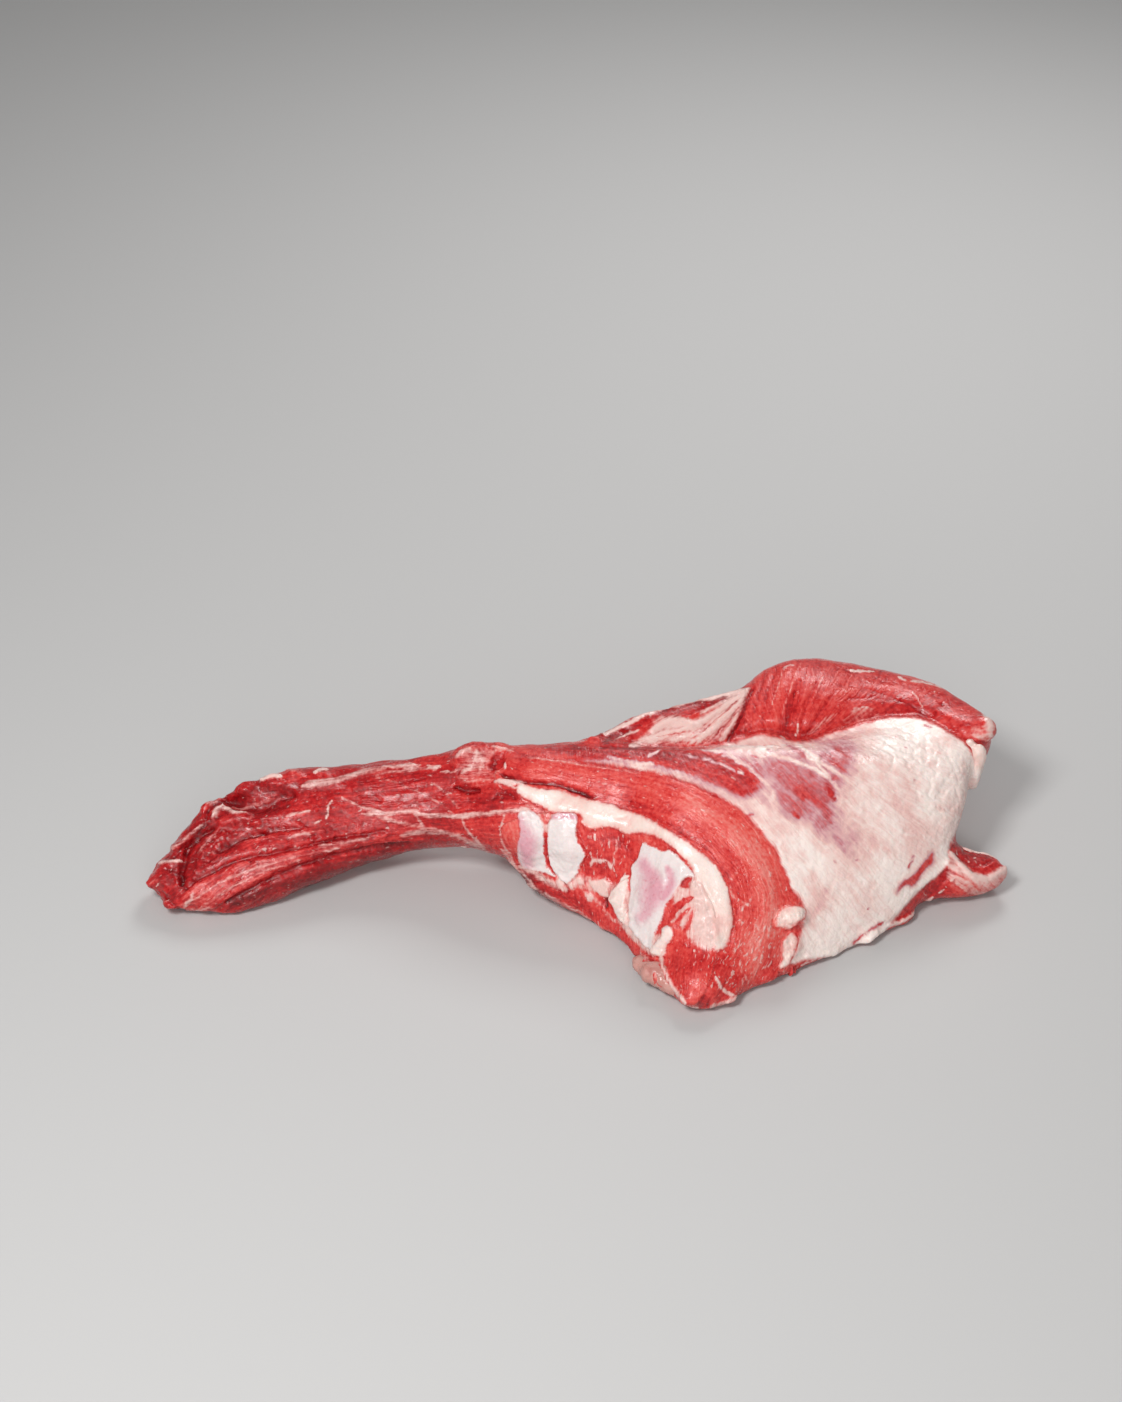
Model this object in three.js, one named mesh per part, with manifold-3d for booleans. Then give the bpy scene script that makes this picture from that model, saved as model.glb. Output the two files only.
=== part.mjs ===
// A raw bone-in veal breast: a thick domed body with a cut face that shows the breast bones under a seam of
// fat, a muscle rolled over along the back, a loose flap at the broad end and a long curved tail of flank.
// Millimetres, +X towards the broad end, +Y away from the cut face, +Z up.
import * as THREE from "three";
import { mergeVertices } from "three/addons/utils/BufferGeometryUtils.js";
import Module from "manifold-3d";

const wasm = await Module();
wasm.setup();

// ---- Driving sizes -------------------------------------------------------------------------------------
const GRID = [8.6, 7.6, 7.2]; // spacing of the surface points of the meat
const FINE_GRID = 5.3; // spacing on bones and fat
const SOCKET_GAP = 0.9; // between a bone or a piece of fat and the meat round it
const PROUD = 1.6; // how far bones and the seam of fat stand out of the cut face
const CARTILAGE_PROUD = 2.6;
const REACH = 12; // room left round a shape when its surface is found

// ---- Fields: each gives the distance in mm from (x, y, z) to a surface, below zero inside ---------------
const clamp = (v, low, high) => Math.min(high, Math.max(low, v));
const radians = THREE.MathUtils.degToRad;

// Distance to a rounded box-like oval of half sizes a, b, c, whose corners fill out as `square` grows.
function oval(s, u, w, a, b, c, square) {
  const p = [Math.abs(s) / a, Math.abs(u) / b, Math.abs(w) / c];
  const sum = p[0] ** square + p[1] ** square + p[2] ** square;
  const r = sum ** (1 / square);
  if (r < 0.05) return -0.95 * Math.min(a, b, c);
  const slope =
    r ** (1 - square) *
    Math.hypot(p[0] ** (square - 1) / a, p[1] ** (square - 1) / b, p[2] ** (square - 1) / c);
  return (r - 1) / slope;
}

// A muscle or strip along a curve. Each station is [x, y, z, half width, half height, lift of the far edge
// in degrees], and the ends are round.
function strand(stations, { square = 2, cap = 1, steps = 8 } = {}) {
  const path = new THREE.CatmullRomCurve3(stations.map(([x, y, z]) => new THREE.Vector3(x, y, z)));
  const sizes = new THREE.CatmullRomCurve3(
    stations.map(([, , , wide, high, lift]) => new THREE.Vector3(wide, high, radians(lift))),
  );
  const up = new THREE.Vector3(0, 0, 1);
  const count = (stations.length - 1) * steps;
  const rings = Array.from({ length: count + 1 }, (_, i) => {
    const t = i / count;
    const size = sizes.getPoint(t);
    const along = path.getTangent(t);
    const side = new THREE.Vector3().crossVectors(up, along).normalize();
    side.applyAxisAngle(along, size.z);
    return { at: path.getPoint(t), along, side, over: along.clone().cross(side), size };
  });
  const p = new THREE.Vector3();
  const q = new THREE.Vector3();
  const field = (x, y, z) => {
    p.set(x, y, z);
    let nearest = Infinity;
    let found = 0;
    let share = 0;
    for (let i = 0; i < count; i++) {
      const a = rings[i].at;
      const b = rings[i + 1].at;
      q.subVectors(b, a);
      const t = clamp(((x - a.x) * q.x + (y - a.y) * q.y + (z - a.z) * q.z) / q.lengthSq(), 0, 1);
      const d = q.multiplyScalar(t).add(a).distanceToSquared(p);
      if (d < nearest) [nearest, found, share] = [d, i, t];
    }
    const [a, b] = [rings[found], rings[found + 1]];
    const offset = (ring, key) => p.dot(ring[key]) - q.dot(ring[key]);
    const dot = (key) => THREE.MathUtils.lerp(offset(a, key), offset(b, key), share);
    q.lerpVectors(a.at, b.at, share);
    const wide = THREE.MathUtils.lerp(a.size.x, b.size.x, share);
    const high = THREE.MathUtils.lerp(a.size.y, b.size.y, share);
    return oval(dot("side"), dot("over"), dot("along"), wide, high, cap * high, square);
  };
  const most = Math.max(...stations.map(([, , , wide, high]) => Math.max(wide, high)));
  field.reach = new THREE.Box3().setFromPoints(path.points).expandByScalar(most + REACH);
  return field;
}

// A lump: an oval about a point, turned about the vertical.
function lump([x0, y0, z0], [a, b, c], turn = 0, square = 2) {
  const [cos, sin] = [Math.cos(radians(turn)), Math.sin(radians(turn))];
  const field = (x, y, z) => {
    const [dx, dy] = [x - x0, y - y0];
    return oval(dx * cos + dy * sin, dy * cos - dx * sin, z - z0, a, b, c, square);
  };
  const middle = new THREE.Vector3(x0, y0, z0);
  field.reach = new THREE.Box3(middle.clone(), middle).expandByScalar(Math.max(a, b, c) + REACH);
  return field;
}

// A flat side: outwards is given by a compass bearing (0 is +X, 90 is +Y) and a rise above level.
function side([x0, y0, z0], bearing, rise) {
  const [b, r] = [radians(bearing), radians(rise)];
  const n = [Math.cos(b) * Math.cos(r), Math.sin(b) * Math.cos(r), Math.sin(r)];
  return (x, y, z) => (x - x0) * n[0] + (y - y0) * n[1] + (z - z0) * n[2];
}

// A block bounded by flat sides whose edges are worn round.
const block = (sides, soft) => (x, y, z) => {
  const d = sides.map((f) => f(x, y, z));
  const most = Math.max(...d);
  return most + soft * Math.log(d.reduce((sum, v) => sum + Math.exp((v - most) / soft), 0));
};

const join = (soft, ...fields) => (x, y, z) =>
  fields.reduce((made, f) => {
    const d = f(x, y, z);
    const h = Math.max(soft - Math.abs(made - d), 0) / soft;
    return Math.min(made, d) - (h * h * soft) / 4;
  }, Infinity);
const negative = (f) => (x, y, z) => -f(x, y, z);
const grown = (f, by) => (x, y, z) => f(x, y, z) - by;
const within = (soft, ...fields) => negative(join(soft, ...fields.map(negative)));
const carve = (soft, f, cutter) => within(soft, f, negative(cutter));

// ---- Meshing: a smooth net of points over the zero surface of a field -----------------------------------
// Where the inside would touch itself only across a corner of the grid, the weakest sample changes sides,
// so that every edge of the net has two faces.
function settle(value, stride) {
  const turn = 0.02;
  let changed = true;
  while (changed) {
    changed = false;
    for (const [u, v] of [[0, 1], [1, 2], [0, 2]]) {
      const ring = [0, stride[u], stride[u] + stride[v], stride[v]];
      for (let at = 0; at + ring[2] < value.length; at++) {
        const inside = ring.map((step) => value[at + step] < 0);
        if (inside[0] !== inside[2] || inside[1] !== inside[3] || inside[0] === inside[1]) continue;
        const weakest = ring.reduce((a, b) => (Math.abs(value[at + b]) < Math.abs(value[at + a]) ? b : a));
        value[at + weakest] = value[at + weakest] < 0 ? turn : -turn;
        changed = true;
      }
    }
  }
}

function net(field, reach, step) {
  const [low, high] = [reach.min.toArray(), reach.max.toArray()];
  const n = step.map((s, i) => Math.ceil((high[i] - low[i]) / s) + 1);
  const index = (i, j, k) => i + n[0] * (j + n[1] * k);
  const value = new Float64Array(n[0] * n[1] * n[2]);
  for (let k = 0; k < n[2]; k++)
    for (let j = 0; j < n[1]; j++)
      for (let i = 0; i < n[0]; i++)
        value[index(i, j, k)] = field(low[0] + i * step[0], low[1] + j * step[1], low[2] + k * step[2]);
  const stride = [1, n[0], n[0] * n[1]];
  settle(value, stride);

  const corners = [0, 1, 2, 3, 4, 5, 6, 7].map((c) => [c & 1, (c >> 1) & 1, (c >> 2) & 1]);
  const edges = [];
  for (let p = 0; p < 8; p++)
    for (const way of [1, 2, 4]) if (!(p & way)) edges.push([p, p | way]);
  const points = [];
  const pointOf = new Map();
  for (let k = 0; k < n[2] - 1; k++)
    for (let j = 0; j < n[1] - 1; j++)
      for (let i = 0; i < n[0] - 1; i++) {
        const v = corners.map(([a, b, c]) => value[index(i + a, j + b, k + c)]);
        const sum = [0, 0, 0];
        let crossings = 0;
        for (const [p, q] of edges) {
          if (v[p] < 0 === v[q] < 0) continue;
          const t = v[p] / (v[p] - v[q]);
          for (let a = 0; a < 3; a++) sum[a] += corners[p][a] + t * (corners[q][a] - corners[p][a]);
          crossings++;
        }
        if (!crossings) continue;
        pointOf.set(index(i, j, k), points.length / 3);
        [i, j, k].forEach((at, a) => points.push(low[a] + (at + sum[a] / crossings) * step[a]));
      }

  const faces = [];
  for (let k = 1; k < n[2] - 1; k++)
    for (let j = 1; j < n[1] - 1; j++)
      for (let i = 1; i < n[0] - 1; i++)
        for (let a = 0; a < 3; a++) {
          const here = index(i, j, k);
          const inside = value[here] < 0;
          if (inside === value[here + stride[a]] < 0) continue;
          const [b, c] = [stride[(a + 1) % 3], stride[(a + 2) % 3]];
          const ring = [here - b - c, here - c, here, here - b].map((cellAt) => pointOf.get(cellAt));
          if (!inside) ring.reverse();
          faces.push(ring[0], ring[1], ring[2], ring[0], ring[2], ring[3]);
        }
  const geometry = new THREE.BufferGeometry();
  geometry.setAttribute("position", new THREE.Float32BufferAttribute(points, 3));
  geometry.setIndex(faces);
  return geometry;
}

function solidOf(geometry) {
  const bare = new THREE.BufferGeometry();
  bare.setAttribute("position", geometry.getAttribute("position"));
  bare.setIndex(geometry.getIndex());
  const merged = mergeVertices(bare, 1e-4);
  return new wasm.Manifold(
    new wasm.Mesh({
      numProp: 3,
      vertProperties: new Float32Array(merged.getAttribute("position").array),
      triVerts: new Uint32Array(merged.getIndex().array),
    }),
  );
}

function geometryOf(solid) {
  const mesh = solid.getMesh();
  const geometry = new THREE.BufferGeometry();
  geometry.setAttribute("position", new THREE.BufferAttribute(mesh.vertProperties, 3));
  geometry.setIndex(new THREE.BufferAttribute(mesh.triVerts, 1));
  geometry.computeVertexNormals();
  return geometry;
}

// ---- The meat ----------------------------------------------------------------------------------------
// The long tail of flank, flat and tipped towards the cut face, with a furrow along it and one at its end.
const tail = strand(
  [
    [-229, 3, 12, 16, 11, 16],
    [-206, 13, 18, 33, 15, 24],
    [-165, 33, 27, 35, 20, 30],
    [-120, 46, 31, 28, 21, 34],
    [-75, 47, 38, 26, 22, 34],
    [-30, 36, 45, 32, 28, 36],
    [10, 28, 44, 38, 32, 30],
  ],
  { square: 2.8 },
);
const tailTip = lump([-236, 13, 10], [10, 9, 8]);
const furrows = [
  strand([[-203, 36, 47, 6, 6, 0], [-183, 34, 51, 7, 6, 0], [-162, 31, 52, 5, 5, 0]]),
  strand([
    [-222, -2, 24, 4, 5, 0],
    [-216, 12, 31, 5, 5, 0],
    [-202, 17, 37, 5, 5, 0],
    [-176, 17, 41, 4, 4, 0],
  ]),
  lump([-60, 25, 61], [12, 6, 6], -20),
  lump([-46, 38, 76], [8, 6, 7]),
];

// The thick body, as flat sides worn round. The cut face looks left and forwards.
const front = [
  side([14, -23, 8], 218, 24),
  side([66, -106, 10], 255, 34),
  side([148, -44, 8], 303, 14),
  side([158, -12, 55], 295, 42),
];
const ends = [side([224, 40, 50], 0, -30), side([-34, 50, 14], 182, -38), side([100, 20, -7], 0, -90)];
const backs = [side([150, 130, 20], 80, 22), side([20, 90, 20], 118, 24), side([60, 20, 58], 0, 90)];
const ridge = [side([58, 44, 80], 87, 20), side([67, 4, 80], 262, 66)];
const crown = [side([165, 66, 76], 112, 14), side([172, 36, 82], 290, 68), side([190, 36, 84], 20, 76)];
const knob = lump([-54, 55, 54.5], [21, 14, 13]);
const faceFoot = lump([-12, 2, 16], [26, 13, 11], -38);
const point = lump([66, -82, 12], [15, 15, 11]);

// The wall of muscle that stands up behind the ridge, and the tendons that fill the hollow before it.
const wall = strand(
  [
    [14, 62, 56, 8, 20, 8],
    [30, 70, 58, 8, 25, 10],
    [58, 81, 59, 8, 27, 12],
    [96, 95, 59, 10, 28, 12],
    [130, 104, 54, 14, 24, 0],
  ],
  { square: 2.4 },
);
const tendons = lump([72, 66, 52], [64, 26, 24], 14);

// The muscle rolled over along the back.
const rolled = strand(
  [
    [112, 86, 60, 30, 26, 0],
    [132, 96, 64, 36, 28, 5],
    [165, 99, 59, 35, 26, 5],
    [198, 94, 56, 31, 25, 0],
    [220, 78, 58, 24, 20, 0],
  ],
  { square: 2.4 },
);

// The loose flap at the broad end.
const flap = strand(
  [
    [192, 14, 14, 16, 14, 0],
    [214, 10, 14, 15, 14, 0],
    [234, 14, 12, 12, 12, 0],
  ],
  { square: 2.3 },
);

const body = join(
  6,
  block([...front, ...ends, ...backs], 7),
  block([...front, ...ends, ...ridge], 8),
  block([...front, ...ends, ...crown], 8),
  tendons,
);
const trunk = join(14, body, join(5, tail, tailTip), knob, faceFoot, point);
const unfurrowed = join(6, trunk, join(4, wall, rolled), flap);
const whole = furrows.reduce((made, furrow) => carve(4, made, furrow), unfurrowed);
whole.reach = new THREE.Box3(new THREE.Vector3(-262, -132, -20), new THREE.Vector3(270, 168, 124));

// ---- Bones and fat, each let into the meat and standing a little proud of it ----------------------------
function bed(shape, proud) {
  const bedded = within(2, shape, grown(whole, proud));
  bedded.reach = shape.reach;
  return bedded;
}

const seam = strand([
  [-37, 25, 64, 4, 8, 36],
  [-17, 15, 63, 6, 9, 36],
  [2, 6, 60, 7.5, 9, 34],
  [20, 0, 58, 7.5, 9, 30],
  [37, -9, 58, 7.5, 9, 24],
  [54, -24, 56, 7.5, 9, 16],
  [68, -35, 53, 7.5, 9, 8],
  [77, -45, 46, 7, 9, 0],
  [80, -56, 37, 6.5, 8, 0],
  [79, -65, 26, 5, 7, 0],
]);
const largeBone = strand([[52, -27, 47, 13, 8, 20], [47, -33, 39, 16, 9, 20], [41, -43, 25, 10, 8, 20]], {
  square: 2.6,
});
const ribEnd = strand([[27, -16, 38, 4.5, 8, 20], [26, -25, 25, 5, 8, 20], [29, -35, 17, 4, 7, 20]]);
const knuckle = strand([[54, -56, 30, 6, 6, 10], [48, -57, 22, 6, 6, 10], [44, -58, 12, 5, 5, 10]]);
const strip = strand([[121, -52, 23, 5, 5, 0], [117, -58, 15, 5.5, 5, 0], [112, -64, 8, 4.5, 4.5, 0]]);
const insets = [
  ["fat_seam", "fat", bed(seam, PROUD)],
  ["bone_1", "bone", bed(lump([-24, 6, 41], [9, 13, 17], -20, 2.6), PROUD)],
  ["bone_2", "bone", bed(lump([-4, 0, 43], [9, 13, 18], -20, 2.6), PROUD)],
  ["bone_3", "bone", bed(largeBone, PROUD)],
  ["cartilage_strip", "cartilage", bed(ribEnd, CARTILAGE_PROUD)],
  ["cartilage_knuckle", "cartilage", bed(knuckle, CARTILAGE_PROUD)],
  ["under_fat", "fat", strand([[35, -60, 8.5, 7, 6, 0], [43, -70, 9, 8, 7, 0], [55, -81, 8.5, 7, 6, 0]])],
  ["fat_nub", "fat", lump([117, -49, 32], [11, 8, 6], -20)],
  ["fat_strip", "fat", strip],
  ["fat_tab", "fat", strand([[224, 61, 67, 7, 5, 60], [230, 61, 56, 8, 5.5, 60], [227, 57, 42, 6, 5, 60]])],
];

// The board that it lies on presses it flat below.
const belowBoard = solidOf(new THREE.BoxGeometry(700, 500, 60).translate(0, 0, -30));
const fine = [FINE_GRID, FINE_GRID, FINE_GRID];
let meat = solidOf(net(whole, whole.reach, GRID)).subtract(belowBoard);
const earlier = [];
const pieces = insets.map(([name, finish, shape]) => {
  const clear = earlier.reduce((made, other) => carve(1, made, grown(other, 2 * SOCKET_GAP)), shape);
  earlier.push(shape);
  meat = meat.subtract(solidOf(net(grown(clear, SOCKET_GAP), shape.reach, fine)));
  return [name, finish, solidOf(net(clear, shape.reach, fine)).subtract(belowBoard)];
});

// ---- Assembly ----------------------------------------------------------------------------------------
const finishes = {
  meat: new THREE.MeshStandardMaterial({ color: 0xc4413f, roughness: 0.45, metalness: 0 }),
  fat: new THREE.MeshStandardMaterial({ color: 0xeccfbc, roughness: 0.4, metalness: 0 }),
  bone: new THREE.MeshStandardMaterial({ color: 0xd9cbd4, roughness: 0.45, metalness: 0 }),
  cartilage: new THREE.MeshStandardMaterial({ color: 0xe6dcd8, roughness: 0.35, metalness: 0 }),
};

const part = new THREE.Group();
for (const [name, finish, solid] of [["meat", "meat", meat], ...pieces]) {
  const mesh = new THREE.Mesh(geometryOf(solid), finishes[finish]);
  mesh.name = name;
  part.add(mesh);
}

// The origin stands under the middle of the whole.
const extent = new THREE.Box3().setFromObject(part);
const middle = extent.getCenter(new THREE.Vector3());
part.position.set(-middle.x, -middle.y, -extent.min.z);

export default part;
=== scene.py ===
"""A raw bone-in veal breast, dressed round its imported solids.

The body of muscle is remeshed from its solid and carved; the membrane, the seam of fat, the bones and the
cartilage are cut from its skin as pieces of their own, and every surface gets its own wet, fibrous finish.
"""
import logging
import math
import re
from collections.abc import Sequence
from dataclasses import dataclass, field
from enum import Enum

import bmesh
import bpy
import numpy as np
from mathutils import Matrix, Vector
from mathutils.bvhtree import BVHTree


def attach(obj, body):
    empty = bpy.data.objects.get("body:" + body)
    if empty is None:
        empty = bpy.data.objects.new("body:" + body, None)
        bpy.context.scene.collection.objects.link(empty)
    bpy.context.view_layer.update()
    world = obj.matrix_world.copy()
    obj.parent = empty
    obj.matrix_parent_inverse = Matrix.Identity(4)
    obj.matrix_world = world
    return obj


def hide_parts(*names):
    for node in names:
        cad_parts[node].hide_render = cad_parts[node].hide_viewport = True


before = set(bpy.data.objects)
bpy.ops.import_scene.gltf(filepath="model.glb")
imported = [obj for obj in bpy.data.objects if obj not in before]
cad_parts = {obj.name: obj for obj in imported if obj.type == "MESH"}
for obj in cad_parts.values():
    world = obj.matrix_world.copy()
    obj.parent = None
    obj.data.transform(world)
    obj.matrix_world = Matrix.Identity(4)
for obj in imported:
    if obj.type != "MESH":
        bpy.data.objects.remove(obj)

LOG = logging.getLogger("veal_breast")
MM = 0.001
PIXEL = 0.56 * MM  # what one pixel of the photograph covers on the meat
FAR = 1e9  # further than anything
TINY = 1e-9  # keeps a length that something is divided by from being nothing
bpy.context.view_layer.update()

BMesh = bmesh.types.BMesh
Material = bpy.types.Material
Mesh = bpy.types.Mesh
Object = bpy.types.Object
Socket = bpy.types.NodeSocket
Tree = bpy.types.NodeTree
Places = Sequence[tuple[float, float]]
Colour = tuple[float, float, float, float]
Value = float | Colour | Socket
Inputs = dict[str | int, Value]


# ---- Where the photograph was taken from ------------------------------------------------------------------
@dataclass(frozen=True)
class Viewpoint:
    """The place, tilt and lens of the photograph's camera, in the frame of the part."""

    place: tuple[float, float, float] = (-0.00917, -1.28138, 1.03504)
    tilt: float = 54.685
    lens: float = 73.365
    sensor: float = 36.0
    sight: float = 40.0
    frame_px: tuple[int, int] = (1122, 1402)

    def axes(self) -> tuple[np.ndarray, np.ndarray, np.ndarray]:
        """Returns the camera's right, up and backward directions."""
        c, s = math.cos(math.radians(self.tilt)), math.sin(math.radians(self.tilt))
        return np.array([1.0, 0.0, 0.0]), np.array([0.0, c, s]), np.array([0.0, -s, c])

    def focal(self) -> float:
        """Returns the focal length in pixels."""
        return self.lens / self.sensor * self.frame_px[1]

    def pixels(self, at: np.ndarray) -> np.ndarray:
        """Finds where points show in the photograph.

        Args:
            at: points in metres, one a row.

        Returns:
            Their pixel places, x and y a row.
        """
        right, up, back = self.axes()
        away = at - np.array(self.place)
        depth = -(away @ back)
        x = self.frame_px[0] / 2 + self.focal() * (away @ right) / depth
        y = self.frame_px[1] / 2 - self.focal() * (away @ up) / depth
        return np.stack([x, y], axis=1)

    def ray(self, px: float, py: float) -> Vector:
        """Finds the direction from the camera through a pixel.

        Args:
            px: the pixel's place from the left.
            py: its place from the top.

        Returns:
            The direction.
        """
        right, up, back = self.axes()
        x, y = px - self.frame_px[0] / 2, self.frame_px[1] / 2 - py
        return Vector(right * x / self.focal() + up * y / self.focal() - back).normalized()

    def build(self) -> None:
        """Makes the scene's camera."""
        data = bpy.data.cameras.new("camera")
        data.lens, data.sensor_width, data.clip_end = self.lens, self.sensor, self.sight
        camera = bpy.data.objects.new("camera", data)
        camera.location = self.place
        camera.rotation_euler = (math.radians(self.tilt), 0.0, 0.0)
        bpy.context.scene.collection.objects.link(camera)
        bpy.context.scene.camera = camera


VIEW = Viewpoint()


# ---- Small mathematics ------------------------------------------------------------------------------------
class Noise:
    """Smooth three-dimensional noise of the lattice kind, the same for the same seed."""

    CELLS = 256
    GAIN = 1.6  # brings one layer to about -1 to 1
    SUM = 1.6  # brings several layers back to about the same
    SHIFT = 17.3  # moves each layer, so that their cells don't line up

    def __init__(self, seed: int) -> None:
        """Fills the lattice with directions.

        Args:
            seed: what the directions are drawn from.
        """
        draw = np.random.default_rng(seed)
        self.table = draw.permutation(self.CELLS)
        slopes = draw.normal(size=(self.CELLS, 3))
        self.slopes = slopes / np.linalg.norm(slopes, axis=1)[:, None]

    def at(self, p: np.ndarray) -> np.ndarray:
        """Works out one layer of noise.

        Args:
            p: points measured in lattice cells.

        Returns:
            The noise, about -1 to 1.
        """
        cell = np.floor(p).astype(int)
        f = p - cell
        w = f * f * f * (f * (f * 6 - 15) + 10)
        total, last = np.zeros(len(p)), self.CELLS - 1
        for corner in range(8):
            step = np.array([corner & 1, (corner >> 1) & 1, (corner >> 2) & 1])
            c = (cell + step) & last
            slot = self.table[(self.table[(self.table[c[:, 0]] + c[:, 1]) & last] + c[:, 2]) & last]
            weight = np.prod(np.where(step == 1, w, 1 - w), axis=1)
            total += weight * np.sum(self.slopes[slot] * (f - step), axis=1)
        return total * self.GAIN

    def layers(self, p: np.ndarray, size: float, count: int = 3) -> np.ndarray:
        """Works out noise of several sizes, each half the last.

        Args:
            p: points.
            size: the size of the largest lumps, in the points' unit.
            count: how many sizes.

        Returns:
            The noise, about -1 to 1.
        """
        made = [self.at(p / size * 2**i + self.SHIFT * i) / 2**i for i in range(count)]
        return sum(made) / self.SUM


@dataclass(frozen=True)
class Cloud:
    """Noise over the skin: its seed, the size of its lumps in millimetres, its layers and its stretch."""

    seed: int
    size: float
    layers: int = 3
    stretch: tuple[float, float, float] = (1.0, 1.0, 1.0)

    def over(self, at: np.ndarray) -> np.ndarray:
        """Returns the noise at places in metres."""
        return Noise(self.seed).layers(at * self.stretch, self.size * MM, self.layers)


def smooth(low: float, high: float, value: np.ndarray) -> np.ndarray:
    """Returns a soft step from 0 at low to 1 at high."""
    t = np.clip((value - low) / (high - low), 0, 1)
    return t * t * (3 - 2 * t)


def curved(points: Places, closed: bool = False, steps: int = 5) -> np.ndarray:
    """Rounds a line of points into a smooth curve through them.

    Args:
        points: the points.
        closed: whether the last joins the first.
        steps: how many parts each stretch is cut into.

    Returns:
        The curve's points.
    """
    p = np.array(points, float)
    if len(p) == 1:
        return np.repeat(p, 2, axis=0) + np.array([[0, 0], [0.01, 0]])
    before, after = (p[-1:], p[:2]) if closed else (2 * p[:1] - p[1:2], 2 * p[-1:] - p[-2:-1])
    q = np.concatenate([before, p, after])
    t = np.linspace(0, 1, steps, endpoint=False)[:, None]
    made = []
    for a, b, c, d in zip(q[:-3], q[1:-2], q[2:-1], q[3:]):
        square, cube = 2 * a - 5 * b + 4 * c - d, 3 * b - a - 3 * c + d
        made.append(0.5 * (2 * b + (c - a) * t + square * t**2 + cube * t**3))
    return np.concatenate([*made, p[:1] if closed else p[-1:]])


def follow(at: np.ndarray, line: np.ndarray) -> tuple[np.ndarray, np.ndarray, np.ndarray]:
    """Measures points against a line.

    Args:
        at: pixel places.
        line: the line's points.

    Returns:
        The distance to the line, the run along it to the nearest place, and the side, 1 or -1.
    """
    best = np.full(len(at), FAR)
    run = np.zeros(len(at))
    hand = np.ones(len(at))
    gone = 0.0
    for a, b in zip(line[:-1], line[1:]):
        way = b - a
        length = float(np.hypot(*way)) or TINY
        off = at - a
        share = np.clip(off @ way / length**2, 0, 1)
        d = np.hypot(*(off - share[:, None] * way).T)
        nearer = d < best
        best[nearer] = d[nearer]
        run[nearer] = (gone + share * length)[nearer]
        hand[nearer] = np.where(way[0] * off[:, 1] - way[1] * off[:, 0] >= 0, 1.0, -1.0)[nearer]
        gone += length
    return best, run, hand


def depth_in(at: np.ndarray, outline: Places, most: float = 45.0) -> np.ndarray:
    """Measures how far inside a smooth closed outline pixel places lie.

    Args:
        at: pixel places.
        outline: the outline's points.
        most: how far outside is still measured.

    Returns:
        The distance to the outline in pixels, below zero outside.
    """
    line = curved(outline, closed=True, steps=4)
    low, high = line.min(0) - most, line.max(0) + most
    near = np.all((at > low) & (at < high), axis=1)
    made = np.full(len(at), -most)
    p = at[near]
    inside = np.zeros(len(p), bool)
    for a, b in zip(line[:-1], line[1:]):
        crosses = (a[1] > p[:, 1]) != (b[1] > p[:, 1])
        where = a[0] + (p[:, 1] - a[1]) * (b[0] - a[0]) / ((b[1] - a[1]) or TINY)
        inside ^= crosses & (p[:, 0] < where)
    distance = follow(p, line)[0]
    made[near] = np.where(inside, distance, -distance)
    return made


# ---- Marks drawn on the meat, in pixels of the photograph -------------------------------------------------
@dataclass(frozen=True)
class Mark:
    """A furrow, ridge, sinew or spot along a line.

    Its points and its width are in pixels and its lift in millimetres. Its tone is added to the skin's own, and
    pale and film are what the skin's own become under it. A darker tone along a sunk furrow, pit or dimple is
    painted shade, and on a few raised marks a lighter tone or paleness is a painted highlight.
    """

    points: Places
    width: float
    lift: float = 0.0
    tone: float = 0.0
    pale: float | None = None
    film: float = 0.0

    def strength(self, at: np.ndarray) -> np.ndarray:
        """Works out how strongly the mark shows, with softer ends.

        Args:
            at: pixel places.

        Returns:
            The strength, 0 to 1.
        """
        line = curved(self.points)
        reach = 3 * self.width
        near = np.all((at > line.min(0) - reach) & (at < line.max(0) + reach), axis=1)
        made = np.zeros(len(at))
        distance, run, _ = follow(at[near], line)
        total = float(np.hypot(*np.diff(line, axis=0).T).sum())
        ends = 1.0
        if total > 1:
            ends = np.clip(np.minimum(run, total - run) / (2 * self.width), 0, 1) * 0.5 + 0.5
        made[near] = np.exp(-((distance / (self.width * ends)) ** 2))
        return made


@dataclass(frozen=True)
class Patch(Mark):
    """A mark over everything inside an outline, with an edge as soft as its width."""

    def strength(self, at: np.ndarray) -> np.ndarray:
        """Returns how strongly the patch shows at pixel places, 0 to 1."""
        return smooth(-self.width / 2, self.width, depth_in(at, self.points))


def places(text: str) -> Places:
    """Reads pixel places, each its x and y with a comma between them."""
    return [tuple(float(number) for number in place.split(",")) for place in text.split()]


def drawn(text: str) -> tuple[Mark, ...]:
    """Reads marks, each its places and then its named values.

    Args:
        text: the marks. One with a width is a line, and one that is soft is a patch.

    Returns:
        The marks.
    """
    made: list[Mark] = []
    for line, words in re.findall(r"((?:\S+,\S+\s+)+)((?:\w+=\S+\s+)+)", text):
        values = {name: float(value) for name, value in (word.split("=") for word in words.split())}
        if "soft" in values:
            made.append(Patch(places(line), values.pop("soft"), **values))
        else:
            made.append(Mark(places(line), **values))
    return tuple(made)


def beads(text: str, **values: float) -> tuple[Mark, ...]:
    """Reads places and returns a small round mark at each."""
    return tuple(Mark([place], **values) for place in places(text))


# Painted shade on the tail: the dark patch along its underside from 226,906, the dark strips from 230,910 and
# 310,868, and the darker tone of its sunk furrows.
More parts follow.
